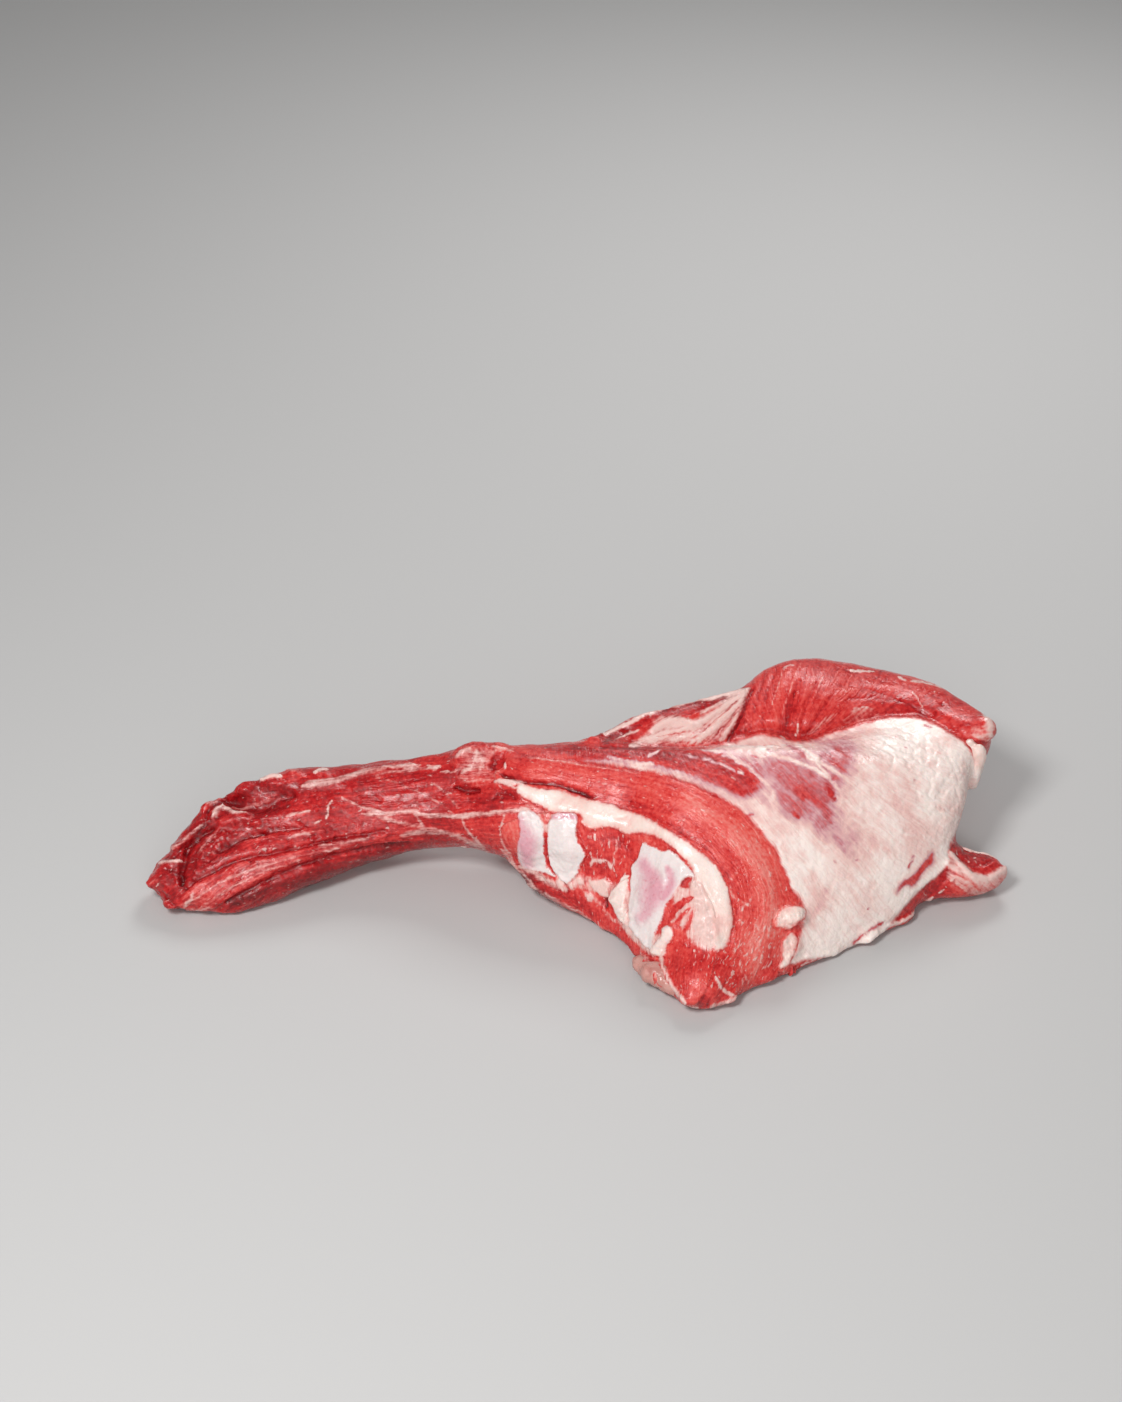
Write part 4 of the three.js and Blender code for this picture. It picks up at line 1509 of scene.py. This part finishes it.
@dataclass
class Veil(Inlay):
    """The membrane over the dome, the ridge and the broad end, with creases where it is busy."""

    hidden_from: float = 118.0
    hidden_back: float = 66.0
    hidden_low: float = 6.0
    hidden_most: float = 9.0
    hidden_slope: float = 0.45
    wander: float = 16.0
    wander_size: float = 50.0
    pull_size: tuple[float, float] = (2.6, 20.0)
    crease_depth: float = 0.7
    ridge_height: float = 0.34
    busy: tuple[Mark, ...] = drawn("900,745 930,770 945,810 width=40 780,750 830,770 width=40 ")
    usual_film: float = 0.97
    net_film: float = 0.26
    hidden_film: float = 0.72
    strand_size: tuple[float, float] = (9.0, 24.0)

    def depth(self, skin: Skin) -> np.ndarray:
        """Works out how deep inside the membrane each vertex lies, round the broad end too.

        Args:
            skin: the surface.

        Returns:
            The depth in millimetres, with a ragged edge.
        """
        shown = depth_in(skin.px, self.outline) * PIXEL / MM
        x, y, z = skin.at.T / MM
        wander = self.wander * Cloud(self.seed + 5, self.wander_size).over(skin.at)
        end, back = x - self.hidden_from + wander, self.hidden_back - y + wander
        hidden = self.hidden_slope * np.minimum(np.minimum(end, back), z - self.hidden_low)
        turned = np.where(x > self.hidden_from - 20, hidden, -self.hidden_most)
        inside = np.where(skin.away > self.turned, shown, np.minimum(turned, self.hidden_most))
        return inside + self.ragging(skin)

    def rise(self, skin: Skin, within: np.ndarray) -> np.ndarray:
        """Works out how far the membrane stands above the meat, with creases along and across its pull.

        Args:
            skin: its surface.
            within: how deep inside its outline each vertex lies.

        Returns:
            The height of each vertex in millimetres.
        """
        across, along = Grain.DOME.measure(skin.px)
        pull = np.stack([across / self.pull_size[0], along / self.pull_size[1], np.zeros(skin.count)], axis=1)
        bent = skin.at + 2.4 * MM * np.stack([Noise(63).at(skin.at / (9 * MM))] * 3, axis=1)
        creases = 1 - np.abs(Cloud(61, 11, 3, (1.0, 1.0, 2.0)).over(bent)) * 3.2
        busy = 0.35 + 0.65 * np.maximum.reduce([mark.strength(skin.px) for mark in self.busy])
        ridged, grained = Noise(62).layers(pull, 1.0, 2), Cloud(64, 4.5, 2).over(skin.at)
        raised = self.proud * smooth(-1.5, 4.0, within)
        raised = raised - self.crease_depth * busy * np.clip(creases, 0, 1) ** 2
        raised += busy * (self.ridge_height * ridged + self.ridge_height * grained)
        return raised * smooth(-1.0, 2.0, within) - self.dip * smooth(-0.8, -self.margin, within)

    def store(self, skin: Skin) -> None:
        """Stores how thick the membrane is and which way it is pulled.

        Args:
            skin: its surface.
        """
        at = wandering(skin, (31, 32, 33, 34), (14, 3), (3.0, 1.1))
        film = np.full(skin.count, self.usual_film)
        for thin in FILMS:
            film += (thin.film - film) * thin.strength(at) * skin.seen
        across, along = Grain.DOME.measure(skin.px)
        wide, long = self.strand_size
        drawn_out = np.stack([across / wide, along / long, np.zeros(skin.count)], axis=1)
        strands = 1 - 3.5 * np.abs(Noise(37).layers(drawn_out, 1.0, 3))
        pockets = 1 - 4.0 * np.abs(Cloud(38, 16).over(skin.at))
        net = np.clip(np.maximum(strands, 0.8 * pockets), 0, 1)
        film += self.net_film * net * smooth(0.14, 0.4, film) * smooth(0.95, 0.6, film)
        film = np.where(skin.seen < 0.5, self.hidden_film + 0.3 * Cloud(35, 30).over(skin.at), film)
        skin.keep("film", film)
        skin.keep("veil", smooth(-0.4, 4.4, self.depth(skin) + 0.5 * Noise(36).at(skin.at / (3 * MM))))
        skin.keep("pulled_across", across)
        skin.keep("pulled_along", along)


@dataclass
class Nodule:
    """A lump made of a solid and a few ovals at pixels, melted together."""

    name: str
    slot: str
    node: str
    ovals: tuple[Bump, ...]
    voxel: float = 0.8 * MM
    ease: int = 14
    lumps: float = 0.5
    cloud: Cloud = Cloud(40, 5)
    inside: float = 4.0
    obj: Object = field(init=False)

    def build(self, meat: Meat) -> None:
        """Makes the lump.

        Args:
            meat: the body that it lies on.
        """
        bm = bmesh.new()
        bm.from_mesh(node_mesh(self.node))
        tree = BVHTree.FromObject(meat.obj, bpy.context.evaluated_depsgraph_get())
        for oval in self.ovals:
            oval.add(bm, tree)
        self.obj = remeshed(linked(self.name, freed(bm, self.name)), self.voxel, self.ease)
        skin = Skin(self.obj)
        skin.move(self.lumps * MM * self.cloud.over(skin.at))
        skin.keep("within", np.full(skin.count, self.inside))

    def finish(self, material: Material) -> None:
        """Dresses the lump and ties it to the frame."""
        dress(self.obj, material, self.slot, self.node)


# ---- Materials --------------------------------------------------------------------------------------------
def tint(red: int, green: int, blue: int) -> Colour:
    """Turns a colour as seen, 0 to 255, into the light that it throws back."""
    seen = (red / 255, green / 255, blue / 255)
    return (*[c / 12.92 if c <= 0.04045 else ((c + 0.055) / 1.055) ** 2.4 for c in seen], 1.0)


class Sheet:
    """A node tree with short calls that add and join nodes."""

    def __init__(self, tree: Tree) -> None:
        """Takes the tree to add to."""
        self.tree = tree

    def add(self, kind: str, inputs: Inputs | None = None, **settings: object) -> bpy.types.Node:
        """Adds a node.

        Args:
            kind: its kind.
            inputs: what its inputs are set or joined to.
            settings: its properties.

        Returns:
            The node.
        """
        node = self.tree.nodes.new(kind)
        for name, value in settings.items():
            setattr(node, name, value)
        for label, value in (inputs or {}).items():
            self.join(value, node.inputs[label])
        return node

    def join(self, source: Value, target: Socket) -> None:
        """Sets a socket to a number or colour, or joins another socket to it.

        Args:
            source: the number, colour or other socket.
            target: the socket.
        """
        if isinstance(source, Socket):
            self.tree.links.new(source, target)
        else:
            target.default_value = source

    def attribute(self, name: str) -> Socket:
        """Returns the number that the mesh stores under a name."""
        return self.add("ShaderNodeAttribute", attribute_name=name).outputs["Fac"]

    def places(self) -> Socket:
        """Returns the object's own coordinates."""
        return self.add("ShaderNodeTexCoord").outputs["Object"]

    def math(self, operation: str, a: Value, b: Value) -> Socket:
        """Returns a sum, product or other result of two values."""
        return self.add("ShaderNodeMath", {0: a, 1: b}, operation=operation).outputs[0]

    def times(self, a: Value, b: Value) -> Socket:
        """Returns the product of two values."""
        return self.math("MULTIPLY", a, b)

    def total(self, first: Value, *others: Value) -> Socket:
        """Adds several values up.

        Args:
            first: the first value.
            others: the others.

        Returns:
            Their sum.
        """
        for other in others:
            first = self.math("ADD", first, other)
        return first

    def swing(self, value: Value, reach: float) -> Socket:
        """Returns a value of 0 to 1 as a swing to either side of zero."""
        return self.times(self.math("SUBTRACT", value, 0.5), reach)

    def vector(self, x: Value, y: Value, z: Value) -> Socket:
        """Returns a vector of three values."""
        return self.add("ShaderNodeCombineXYZ", {0: x, 1: y, 2: z}).outputs[0]

    def noise(self, where: Value, scale: Value, detail: float = 3.0, rough: float = 0.55) -> Socket:
        """Returns cloudy noise."""
        inputs = {"Vector": where, "Scale": scale, "Detail": detail, "Roughness": rough}
        return self.add("ShaderNodeTexNoise", inputs).outputs["Fac"]

    def step(self, value: Value, low: float, high: float) -> Socket:
        """Returns a soft step from 0 at low to 1 at high."""
        inputs = {"Value": value, "From Min": low, "From Max": high}
        return self.add("ShaderNodeMapRange", inputs, interpolation_type="SMOOTHSTEP").outputs["Result"]

    def blend(self, share: Value, a: Value, b: Value) -> Socket:
        """Returns two colours mixed."""
        return self.add("ShaderNodeMix", {0: share, 6: a, 7: b}, data_type="RGBA").outputs[2]

    def ramp(self, value: Value, stops: dict[float, Colour]) -> Socket:
        """Picks a colour along a ramp.

        Args:
            value: where along it.
            stops: the ramp's colours by their places.

        Returns:
            The colour.
        """
        node = self.add("ShaderNodeValToRGB", {0: value})
        points = node.color_ramp.elements
        while len(points) < len(stops):
            points.new(0.5)
        for point, (place, colour) in zip(points, stops.items()):
            point.position, point.color = place, colour
        return node.outputs[0]

    def bump(self, height: Value, strength: float, reach: float) -> Socket:
        """Returns a normal roughened by a height in metres of reach."""
        inputs = {"Height": height, "Strength": strength, "Distance": reach}
        return self.add("ShaderNodeBump", inputs).outputs["Normal"]

    def use(self, group: Tree, **values: Value) -> bpy.types.NodeOutputs:
        """Places a shared group with its own values and returns what it puts out."""
        return self.add("ShaderNodeGroup", values, node_tree=group).outputs


class Group(Sheet):
    """A shared node group: a sheet with named inputs, whose outputs are named when it is done."""

    def __init__(self, name: str, **inputs: float) -> None:
        """Starts the group.

        Args:
            name: its name.
            inputs: its number inputs and their usual values.
        """
        super().__init__(bpy.data.node_groups.new(name, "ShaderNodeTree"))
        for label, value in inputs.items():
            socket = self.tree.interface.new_socket(name=label, in_out="INPUT", socket_type="NodeSocketFloat")
            socket.default_value = value
        self.given = self.add("NodeGroupInput").outputs if inputs else {}

    def done(self, **outputs: Socket) -> Tree:
        """Gives the group its outputs.

        Args:
            outputs: what each puts out.

        Returns:
            The group's tree.
        """
        for label, source in outputs.items():
            kind = "NodeSocketColor" if source.type == "RGBA" else "NodeSocketFloat"
            self.tree.interface.new_socket(name=label, in_out="OUTPUT", socket_type=kind)
        self.add("NodeGroupOutput", outputs)
        return self.tree


@dataclass(frozen=True)
class Raw:
    """Raw muscle: its colours from hollows to the brightest strands, and how far each pattern sways them."""

    # The darkest stop is both the darkest red of the meat and the painted shade in hollows and pits.
    clot_and_shade: Colour = tint(100, 6, 11)
    deep: Colour = tint(142, 12, 18)
    full: Colour = tint(178, 26, 29)
    middle: Colour = tint(205, 50, 47)
    bright: Colour = tint(221, 82, 74)
    pink: Colour = tint(228, 132, 122)
    sinew: Colour = tint(230, 194, 186)
    toned: float = 0.25
    strands: float = 0.5
    broad: float = 0.42
    clouds: float = 0.4
    grains: float = 0.6
    marbling: float = 0.11
    flecks: tuple[float, float] = (0.66, 0.76)
    fleck_share: float = 0.62
    frayed: tuple[float, float] = (0.02, 0.85)


class Effects:
    """The node groups that more than one finish uses."""

    def __init__(self, raw: Raw) -> None:
        """Builds each group once.

        Args:
            raw: what raw muscle looks like.
        """
        self.fibre = self.make_fibre()
        self.mottle = self.make_mottle()
        self.wet = self.make_wet()
        self.flesh = self.make_flesh(raw)

    def make_fibre(self) -> Tree:
        """Makes strands along a grain, from how far across and along it a place lies.

        Returns:
            The group.
        """
        group = Group("Fibre", Across=0.0, Along=0.0, Width=1.2, Length=18.0)
        wander = group.times(group.noise(group.places(), 60.0, 2.0), 5.0)
        u = group.math("DIVIDE", group.total(group.given["Across"], wander), group.given["Width"])
        v = group.math("DIVIDE", group.given["Along"], group.given["Length"])
        short = group.vector(group.times(u, 0.9), group.times(v, 3.2), 7.0)
        strand = group.noise(group.vector(u, v, 0.0), 1.0, 4.0, 0.6)
        return group.done(Strand=strand, Fleck=group.noise(short, 1.0, 2.0))

    def make_mottle(self) -> Tree:
        """Makes clouds and grains over a surface.

        Returns:
            The group.
        """
        group = Group("Mottle", Scale=60.0)
        where, scale = group.places(), group.given["Scale"]
        clouds = group.noise(where, scale, 4.0, 0.5)
        return group.done(Clouds=clouds, Grains=group.noise(where, group.times(scale, 9.0), 4.0, 0.5))

    def make_wet(self) -> Tree:
        """Makes the uneven gloss of moist meat, from drier to wetter.

        Returns:
            The group.
        """
        group = Group("Wet", Dry=0.5, Moist=0.25)
        share = group.step(group.noise(group.places(), 130.0), 0.35, 0.65)
        inputs = {"Value": share, "To Min": group.given["Moist"], "To Max": group.given["Dry"]}
        return group.done(Roughness=group.add("ShaderNodeMapRange", inputs).outputs["Result"])

    def make_flesh(self, raw: Raw) -> Tree:
        """Makes the colour and fine relief of raw muscle from what the mesh stores of its grain and tone.

        Args:
            raw: its colours and patterns.

        Returns:
            The group.
        """
        group = Group("Flesh")
        grain = {"Across": group.attribute("across"), "Along": group.attribute("along")}
        fibre = group.use(self.fibre, **grain, Width=1.5, Length=15.0)
        broad = group.use(self.fibre, **grain, Width=4.5, Length=50.0)
        mottle = group.use(self.mottle, Scale=55.0)
        pick = group.total(
            0.5,
            group.times(group.attribute("tone"), raw.toned),
            group.swing(fibre["Strand"], raw.strands),
            group.swing(broad["Strand"], raw.broad),
            group.swing(mottle["Clouds"], raw.clouds),
            group.swing(mottle["Grains"], raw.grains),
        )
        stops = {0.0: raw.clot_and_shade, 0.2: raw.deep, 0.38: raw.full, 0.52: raw.middle, 0.7: raw.bright}
        colour = group.ramp(pick, {**stops, 0.95: raw.pink})
        fleck = group.total(fibre["Fleck"], group.times(group.attribute("marbled"), raw.marbling))
        fleck = group.times(group.step(fleck, *raw.flecks), raw.fleck_share)
        colour = group.blend(fleck, colour, raw.sinew)
        pale = group.attribute("pale")
        frayed = group.total(pale, group.swing(fibre["Strand"], 1.3), group.swing(mottle["Grains"], 0.6))
        frayed = group.times(group.step(frayed, *raw.frayed), group.step(pale, 0.02, 0.3))
        relief = group.total(fibre["Strand"], group.times(mottle["Grains"], 0.55), group.times(fleck, 0.5))
        return group.done(Color=group.blend(frayed, colour, raw.sinew), Relief=relief)


@dataclass(frozen=True)
class Finish:
    """What every finish of the meat has in common: its gloss, its softness under the skin and its relief."""

    name: str
    dry: float = 0.44
    moist: float = 0.15
    coat: float = 0.12
    coat_roughness: float = 0.12
    under: float = 0.1
    under_reach: float = 0.004
    under_colour: tuple[float, float, float] = (1.0, 0.35, 0.25)
    specular: float = 0.5
    relief: float = 0.6
    relief_reach: float = 0.9 * MM

    def make(self, effects: Effects) -> Material:
        """Makes the material.

        Args:
            effects: the shared groups.

        Returns:
            The material.
        """
        material = bpy.data.materials.new(self.name)
        material.use_nodes = True
        material.node_tree.nodes.clear()
        sheet = Sheet(material.node_tree)
        colour, height = self.paint(sheet, effects)
        shader = sheet.add("ShaderNodeBsdfPrincipled", {
            "Base Color": colour,
            "Normal": sheet.bump(height, self.relief, self.relief_reach),
            "Roughness": sheet.use(effects.wet, Dry=self.dry, Moist=self.moist)["Roughness"],
            "Coat Weight": self.coat,
            "Coat Roughness": self.coat_roughness,
            "Specular IOR Level": self.specular,
            "Subsurface Weight": self.under,
            "Subsurface Scale": self.under_reach,
            "Subsurface Radius": self.under_colour,
        })
        sheet.add("ShaderNodeOutputMaterial", {"Surface": shader.outputs[0]})
        return material

    def paint(self, sheet: Sheet, effects: Effects) -> tuple[Socket, Socket]:
        """Returns the colour of the surface and the height of its fine relief."""
        raise NotImplementedError


@dataclass(frozen=True)
class Muscle(Finish):
    """Raw muscle: red to pink, with strands, flecks of white and pale sinews."""

    specular: float = 0.38
    relief: float = 0.65
    relief_reach: float = 1.0 * MM

    def paint(self, sheet: Sheet, effects: Effects) -> tuple[Socket, Socket]:
        """Returns the colour of the surface and the height of its fine relief."""
        flesh = sheet.use(effects.flesh)
        return flesh["Color"], flesh["Relief"]


@dataclass(frozen=True)
class Membrane(Finish):
    """The thin skin over the meat: cream where it is thick, lilac where it is thin, and then bare meat."""

    rose: Colour = tint(186, 88, 92)
    lilac: Colour = tint(204, 146, 152)
    cream: Colour = tint(235, 192, 184)
    milk: Colour = tint(250, 230, 222)
    spot: Colour = tint(176, 44, 40)
    spots: float = 110.0
    spot_share: float = 0.7

    def paint(self, sheet: Sheet, effects: Effects) -> tuple[Socket, Socket]:
        """Draws the membrane's streaks and clouds over the flesh, and a few red spots on it.

        Args:
            sheet: where its nodes go.
            effects: the shared groups.

        Returns:
            The colour of the surface and the height of its fine relief.
        """
        flesh = sheet.use(effects.flesh)
        pull = {"Across": sheet.attribute("pulled_across"), "Along": sheet.attribute("pulled_along")}
        fine = sheet.use(effects.fibre, **pull, Width=0.9, Length=18.0)["Strand"]
        broad = sheet.use(effects.fibre, **pull, Width=4.5, Length=55.0)["Strand"]
        mottle = sheet.use(effects.mottle, Scale=36.0)
        film = sheet.total(
            sheet.attribute("film"),
            sheet.swing(fine, 0.36),
            sheet.swing(broad, 0.36),
            sheet.swing(mottle["Clouds"], 0.9),
            sheet.swing(mottle["Grains"], 0.25),
        )
        colour = sheet.ramp(film, {0.1: self.rose, 0.42: self.lilac, 0.72: self.cream, 1.0: self.milk})
        border = sheet.total(sheet.attribute("veil"), sheet.swing(fine, 0.5))
        veiled = sheet.times(sheet.step(film, 0.06, 0.5), sheet.step(border, 0.1, 0.85))
        colour = sheet.blend(veiled, flesh["Color"], colour)
        spots = sheet.add("ShaderNodeTexVoronoi", {"Vector": sheet.places(), "Scale": self.spots}).outputs
        lot = sheet.add("ShaderNodeSeparateColor", {0: spots["Color"]}).outputs[0]
        dot = sheet.times(sheet.step(spots["Distance"], 0.075, 0.03), sheet.step(lot, 0.93, 0.94))
        colour = sheet.blend(sheet.times(dot, self.spot_share), colour, self.spot)
        height = sheet.total(sheet.times(fine, 0.45), mottle["Grains"], sheet.times(flesh["Relief"], 0.3))
        return colour, height


@dataclass(frozen=True)
class Fat(Finish):
    """Cream-white fat, pinker in its dips, that frays into the flesh at its edges."""

    cream: Colour = tint(234, 206, 196)
    white: Colour = tint(240, 224, 216)
    pink: Colour = tint(226, 164, 156)
    fray: float = 1.8
    rim: float = 1.6
    rim_share: float = 0.5
    relief: float = 0.8
    relief_reach: float = 1.4 * MM

    def paint(self, sheet: Sheet, effects: Effects) -> tuple[Socket, Socket]:
        """Draws the fat's clouds, its pink rim and the flesh beyond it.

        Args:
            sheet: where its nodes go.
            effects: the shared groups.

        Returns:
            The colour of the surface and the height of its fine relief.
        """
        flesh = sheet.use(effects.flesh)
        mottle = sheet.use(effects.mottle, Scale=45.0)
        clouds, grains = mottle["Clouds"], mottle["Grains"]
        colour = sheet.ramp(clouds, {0.28: self.pink, 0.46: self.cream, 0.66: self.white})
        within = sheet.total(sheet.attribute("within"), sheet.swing(clouds, 3.0), sheet.swing(grains, 2.4))
        rim = sheet.step(within, self.fray + self.rim, self.fray * 0.4)
        colour = sheet.blend(sheet.times(rim, self.rim_share), colour, self.pink)
        colour = sheet.blend(sheet.step(within, self.fray, 0.0), colour, flesh["Color"])
        return colour, sheet.total(clouds, sheet.times(grains, 0.4))


@dataclass(frozen=True)
class Bone(Finish):
    """Sawn young bone and cartilage: pearl white with a lilac blush and red pores, frayed at its edges."""

    core: Colour = tint(216, 156, 167)
    pearl: Colour = tint(229, 216, 213)
    pore: Colour = tint(200, 96, 100)
    pore_share: float = 0.3
    fray: float = 1.3
    relief: float = 0.5

    def paint(self, sheet: Sheet, effects: Effects) -> tuple[Socket, Socket]:
        """Draws the bone's blush and pores, and the flesh beyond its edge.

        Args:
            sheet: where its nodes go.
            effects: the shared groups.

        Returns:
            The colour of the surface and the height of its fine relief.
        """
        flesh = sheet.use(effects.flesh)
        mottle = sheet.use(effects.mottle, Scale=60.0)
        clouds, grains = mottle["Clouds"], mottle["Grains"]
        blush = sheet.total(sheet.attribute("blush"), sheet.swing(clouds, 1.6), sheet.swing(grains, 0.5))
        colour = sheet.blend(sheet.step(blush, 0.0, 1.2), self.pearl, self.core)
        pores = sheet.times(sheet.step(grains, 0.58, 0.7), sheet.step(blush, 0.4, 1.0))
        colour = sheet.blend(sheet.times(pores, self.pore_share), colour, self.pore)
        within = sheet.total(sheet.attribute("within"), sheet.swing(clouds, 1.6), sheet.swing(grains, 2.4))
        colour = sheet.blend(sheet.step(within, self.fray, 0.0), colour, flesh["Color"])
        return colour, sheet.total(clouds, sheet.times(grains, 0.5))


# ---- The room ---------------------------------------------------------------------------------------------
@dataclass(frozen=True)
class Lamp:
    """One square soft light: where it stands, how large it is and its power in watts."""

    name: str
    place: tuple[float, float, float]
    size: float
    power: float

    def build(self, target: tuple[float, float, float]) -> None:
        """Makes the light.

        Args:
            target: what it looks at.
        """
        data = bpy.data.lights.new(self.name, "AREA")
        data.size, data.energy = self.size, self.power
        lamp = bpy.data.objects.new(self.name, data)
        lamp.location = self.place
        lamp.rotation_euler = (Vector(target) - Vector(self.place)).to_track_quat("-Z", "Y").to_euler()
        bpy.context.scene.collection.objects.link(lamp)


@dataclass(frozen=True)
class Studio:
    """A plain pale floor and soft light."""

    floor: Colour = tint(190, 189, 188)
    floor_size: float = 16.0
    floor_roughness: float = 0.8
    sky: Colour = (1.0, 1.0, 1.0, 1.0)
    sky_strength: float = 0.22
    middle: tuple[float, float, float] = (0.0, 0.0, 0.05)
    lamps: tuple[Lamp, ...] = (
        Lamp("key", (-0.5, -0.8, 1.25), 0.36, 15.6),
        Lamp("back", (0.35, 1.0, 1.0), 0.5, 8.0),
        Lamp("front", (0.1, -1.5, 0.8), 1.0, 9.0),
    )

    def build(self) -> None:
        """Makes the floor, the lights and the world."""
        bm = bmesh.new()
        bmesh.ops.create_grid(bm, x_segments=1, y_segments=1, size=self.floor_size)
        floor = linked("floor", freed(bm, "floor"))
        material = bpy.data.materials.new("floor")
        material.use_nodes = True
        shader = material.node_tree.nodes["Principled BSDF"]
        shader.inputs["Base Color"].default_value = self.floor
        shader.inputs["Roughness"].default_value = self.floor_roughness
        floor.data.materials.append(material)
        for lamp in self.lamps:
            lamp.build(self.middle)
        world = bpy.data.worlds.new("world")
        world.use_nodes = True
        background = world.node_tree.nodes["Background"]
        background.inputs["Color"].default_value = self.sky
        background.inputs["Strength"].default_value = self.sky_strength
        bpy.context.scene.world = world
        bpy.context.scene.view_settings.view_transform = "Standard"


# ---- The pieces -------------------------------------------------------------------------------------------
INLAYS = (
    Veil("membrane_piece", "membrane", (), MEMBRANE, proud=0.4, thick=1.4, levels=1, margin=4.0, dip=2.0,
         ragged=0.9, seed=60),
    Inlay("fat_seam_piece", "fat", ("fat_seam",), SEAM, proud=0.9, edge=4.0, lumps=1.0, lump_size=16.0,
          ragged=1.0, seed=70),
    Inlay("bone_1_piece", "bone", ("bone_1",), BONE_1, proud=0.6, lumps=0.9, lump_size=8.0, seed=80),
    Inlay("bone_2_piece", "bone", ("bone_2",), BONE_2, proud=1.2, lumps=1.2, lump_size=9.0, seed=90),
    Inlay("bone_3_piece", "bone", ("bone_3",), BONE_3, proud=0.9, lumps=1.0, lump_size=9.0, seed=100),
    Inlay("cartilage_strip_piece", "cartilage", ("cartilage_strip",), STRIP, proud=1.2, lumps=0.9,
          ragged=1.0, seed=110),
    Inlay("cartilage_knuckle_piece", "cartilage", ("cartilage_knuckle",), KNUCKLE, proud=1.6, edge=2.4,
          lumps=0.8, ragged=0.6, seed=120),
    Inlay("fat_nub_piece", "fat", ("fat_nub",), NUB, proud=1.5, edge=3.0, lumps=1.8, lump_size=6.0,
          ragged=1.6, seed=130),
    Inlay("fat_strip_piece", "fat", ("fat_strip",), FAT_STRIP, proud=0.5, edge=3.0, lumps=1.2, ragged=1.8,
          seed=140),
)
FAT_TAB = Nodule("fat_tab_piece", "fat", "fat_tab",
                 (Bump((979, 757), (5.5, 4, 9)), Bump((976, 772), (4, 4, 9))))
UNDER_FAT = Nodule("under_fat_piece", "fat", "under_fat",
                   (Bump((646, 974), (4, 5, 6)), Bump((658, 989), (7, 5, 4))))
# Painted shade: darker copies of the fat's colours for the lump that sits low under the cut face.
SHADED = {"cream": tint(194, 136, 126), "white": tint(210, 164, 154), "pink": tint(168, 84, 80)}


def main() -> None:
    """Builds the veal breast piece by piece."""
    logging.basicConfig(level=logging.INFO, format="%(name)s: %(message)s")
    VIEW.build()
    Studio().build()
    effects = Effects(Raw())
    finishes = {
        "meat": Muscle("muscle").make(effects),
        "fat": Fat("fat", moist=0.22, under=0.16).make(effects),
        "shaded fat": Fat("fat_in_painted_shade", **SHADED).make(effects),
        "bone": Bone("bone", under=0.12).make(effects),
        "cartilage": Bone("cartilage", pearl=tint(236, 214, 206), under=0.16, moist=0.2).make(effects),
        "membrane": Membrane("membrane", dry=0.46, moist=0.24).make(effects),
    }

    meat = Meat()
    meat.build()
    for inlay in INLAYS:
        inlay.cut(meat)
        inlay.finish(finishes[inlay.slot])
    meat.refine(INLAYS)
    for nodule, finish in ((FAT_TAB, "fat"), (UNDER_FAT, "shaded fat")):
        nodule.build(meat)
        nodule.finish(finishes[finish])
    meat.finish(finishes["meat"])


if __name__ == "__main__":
    main()
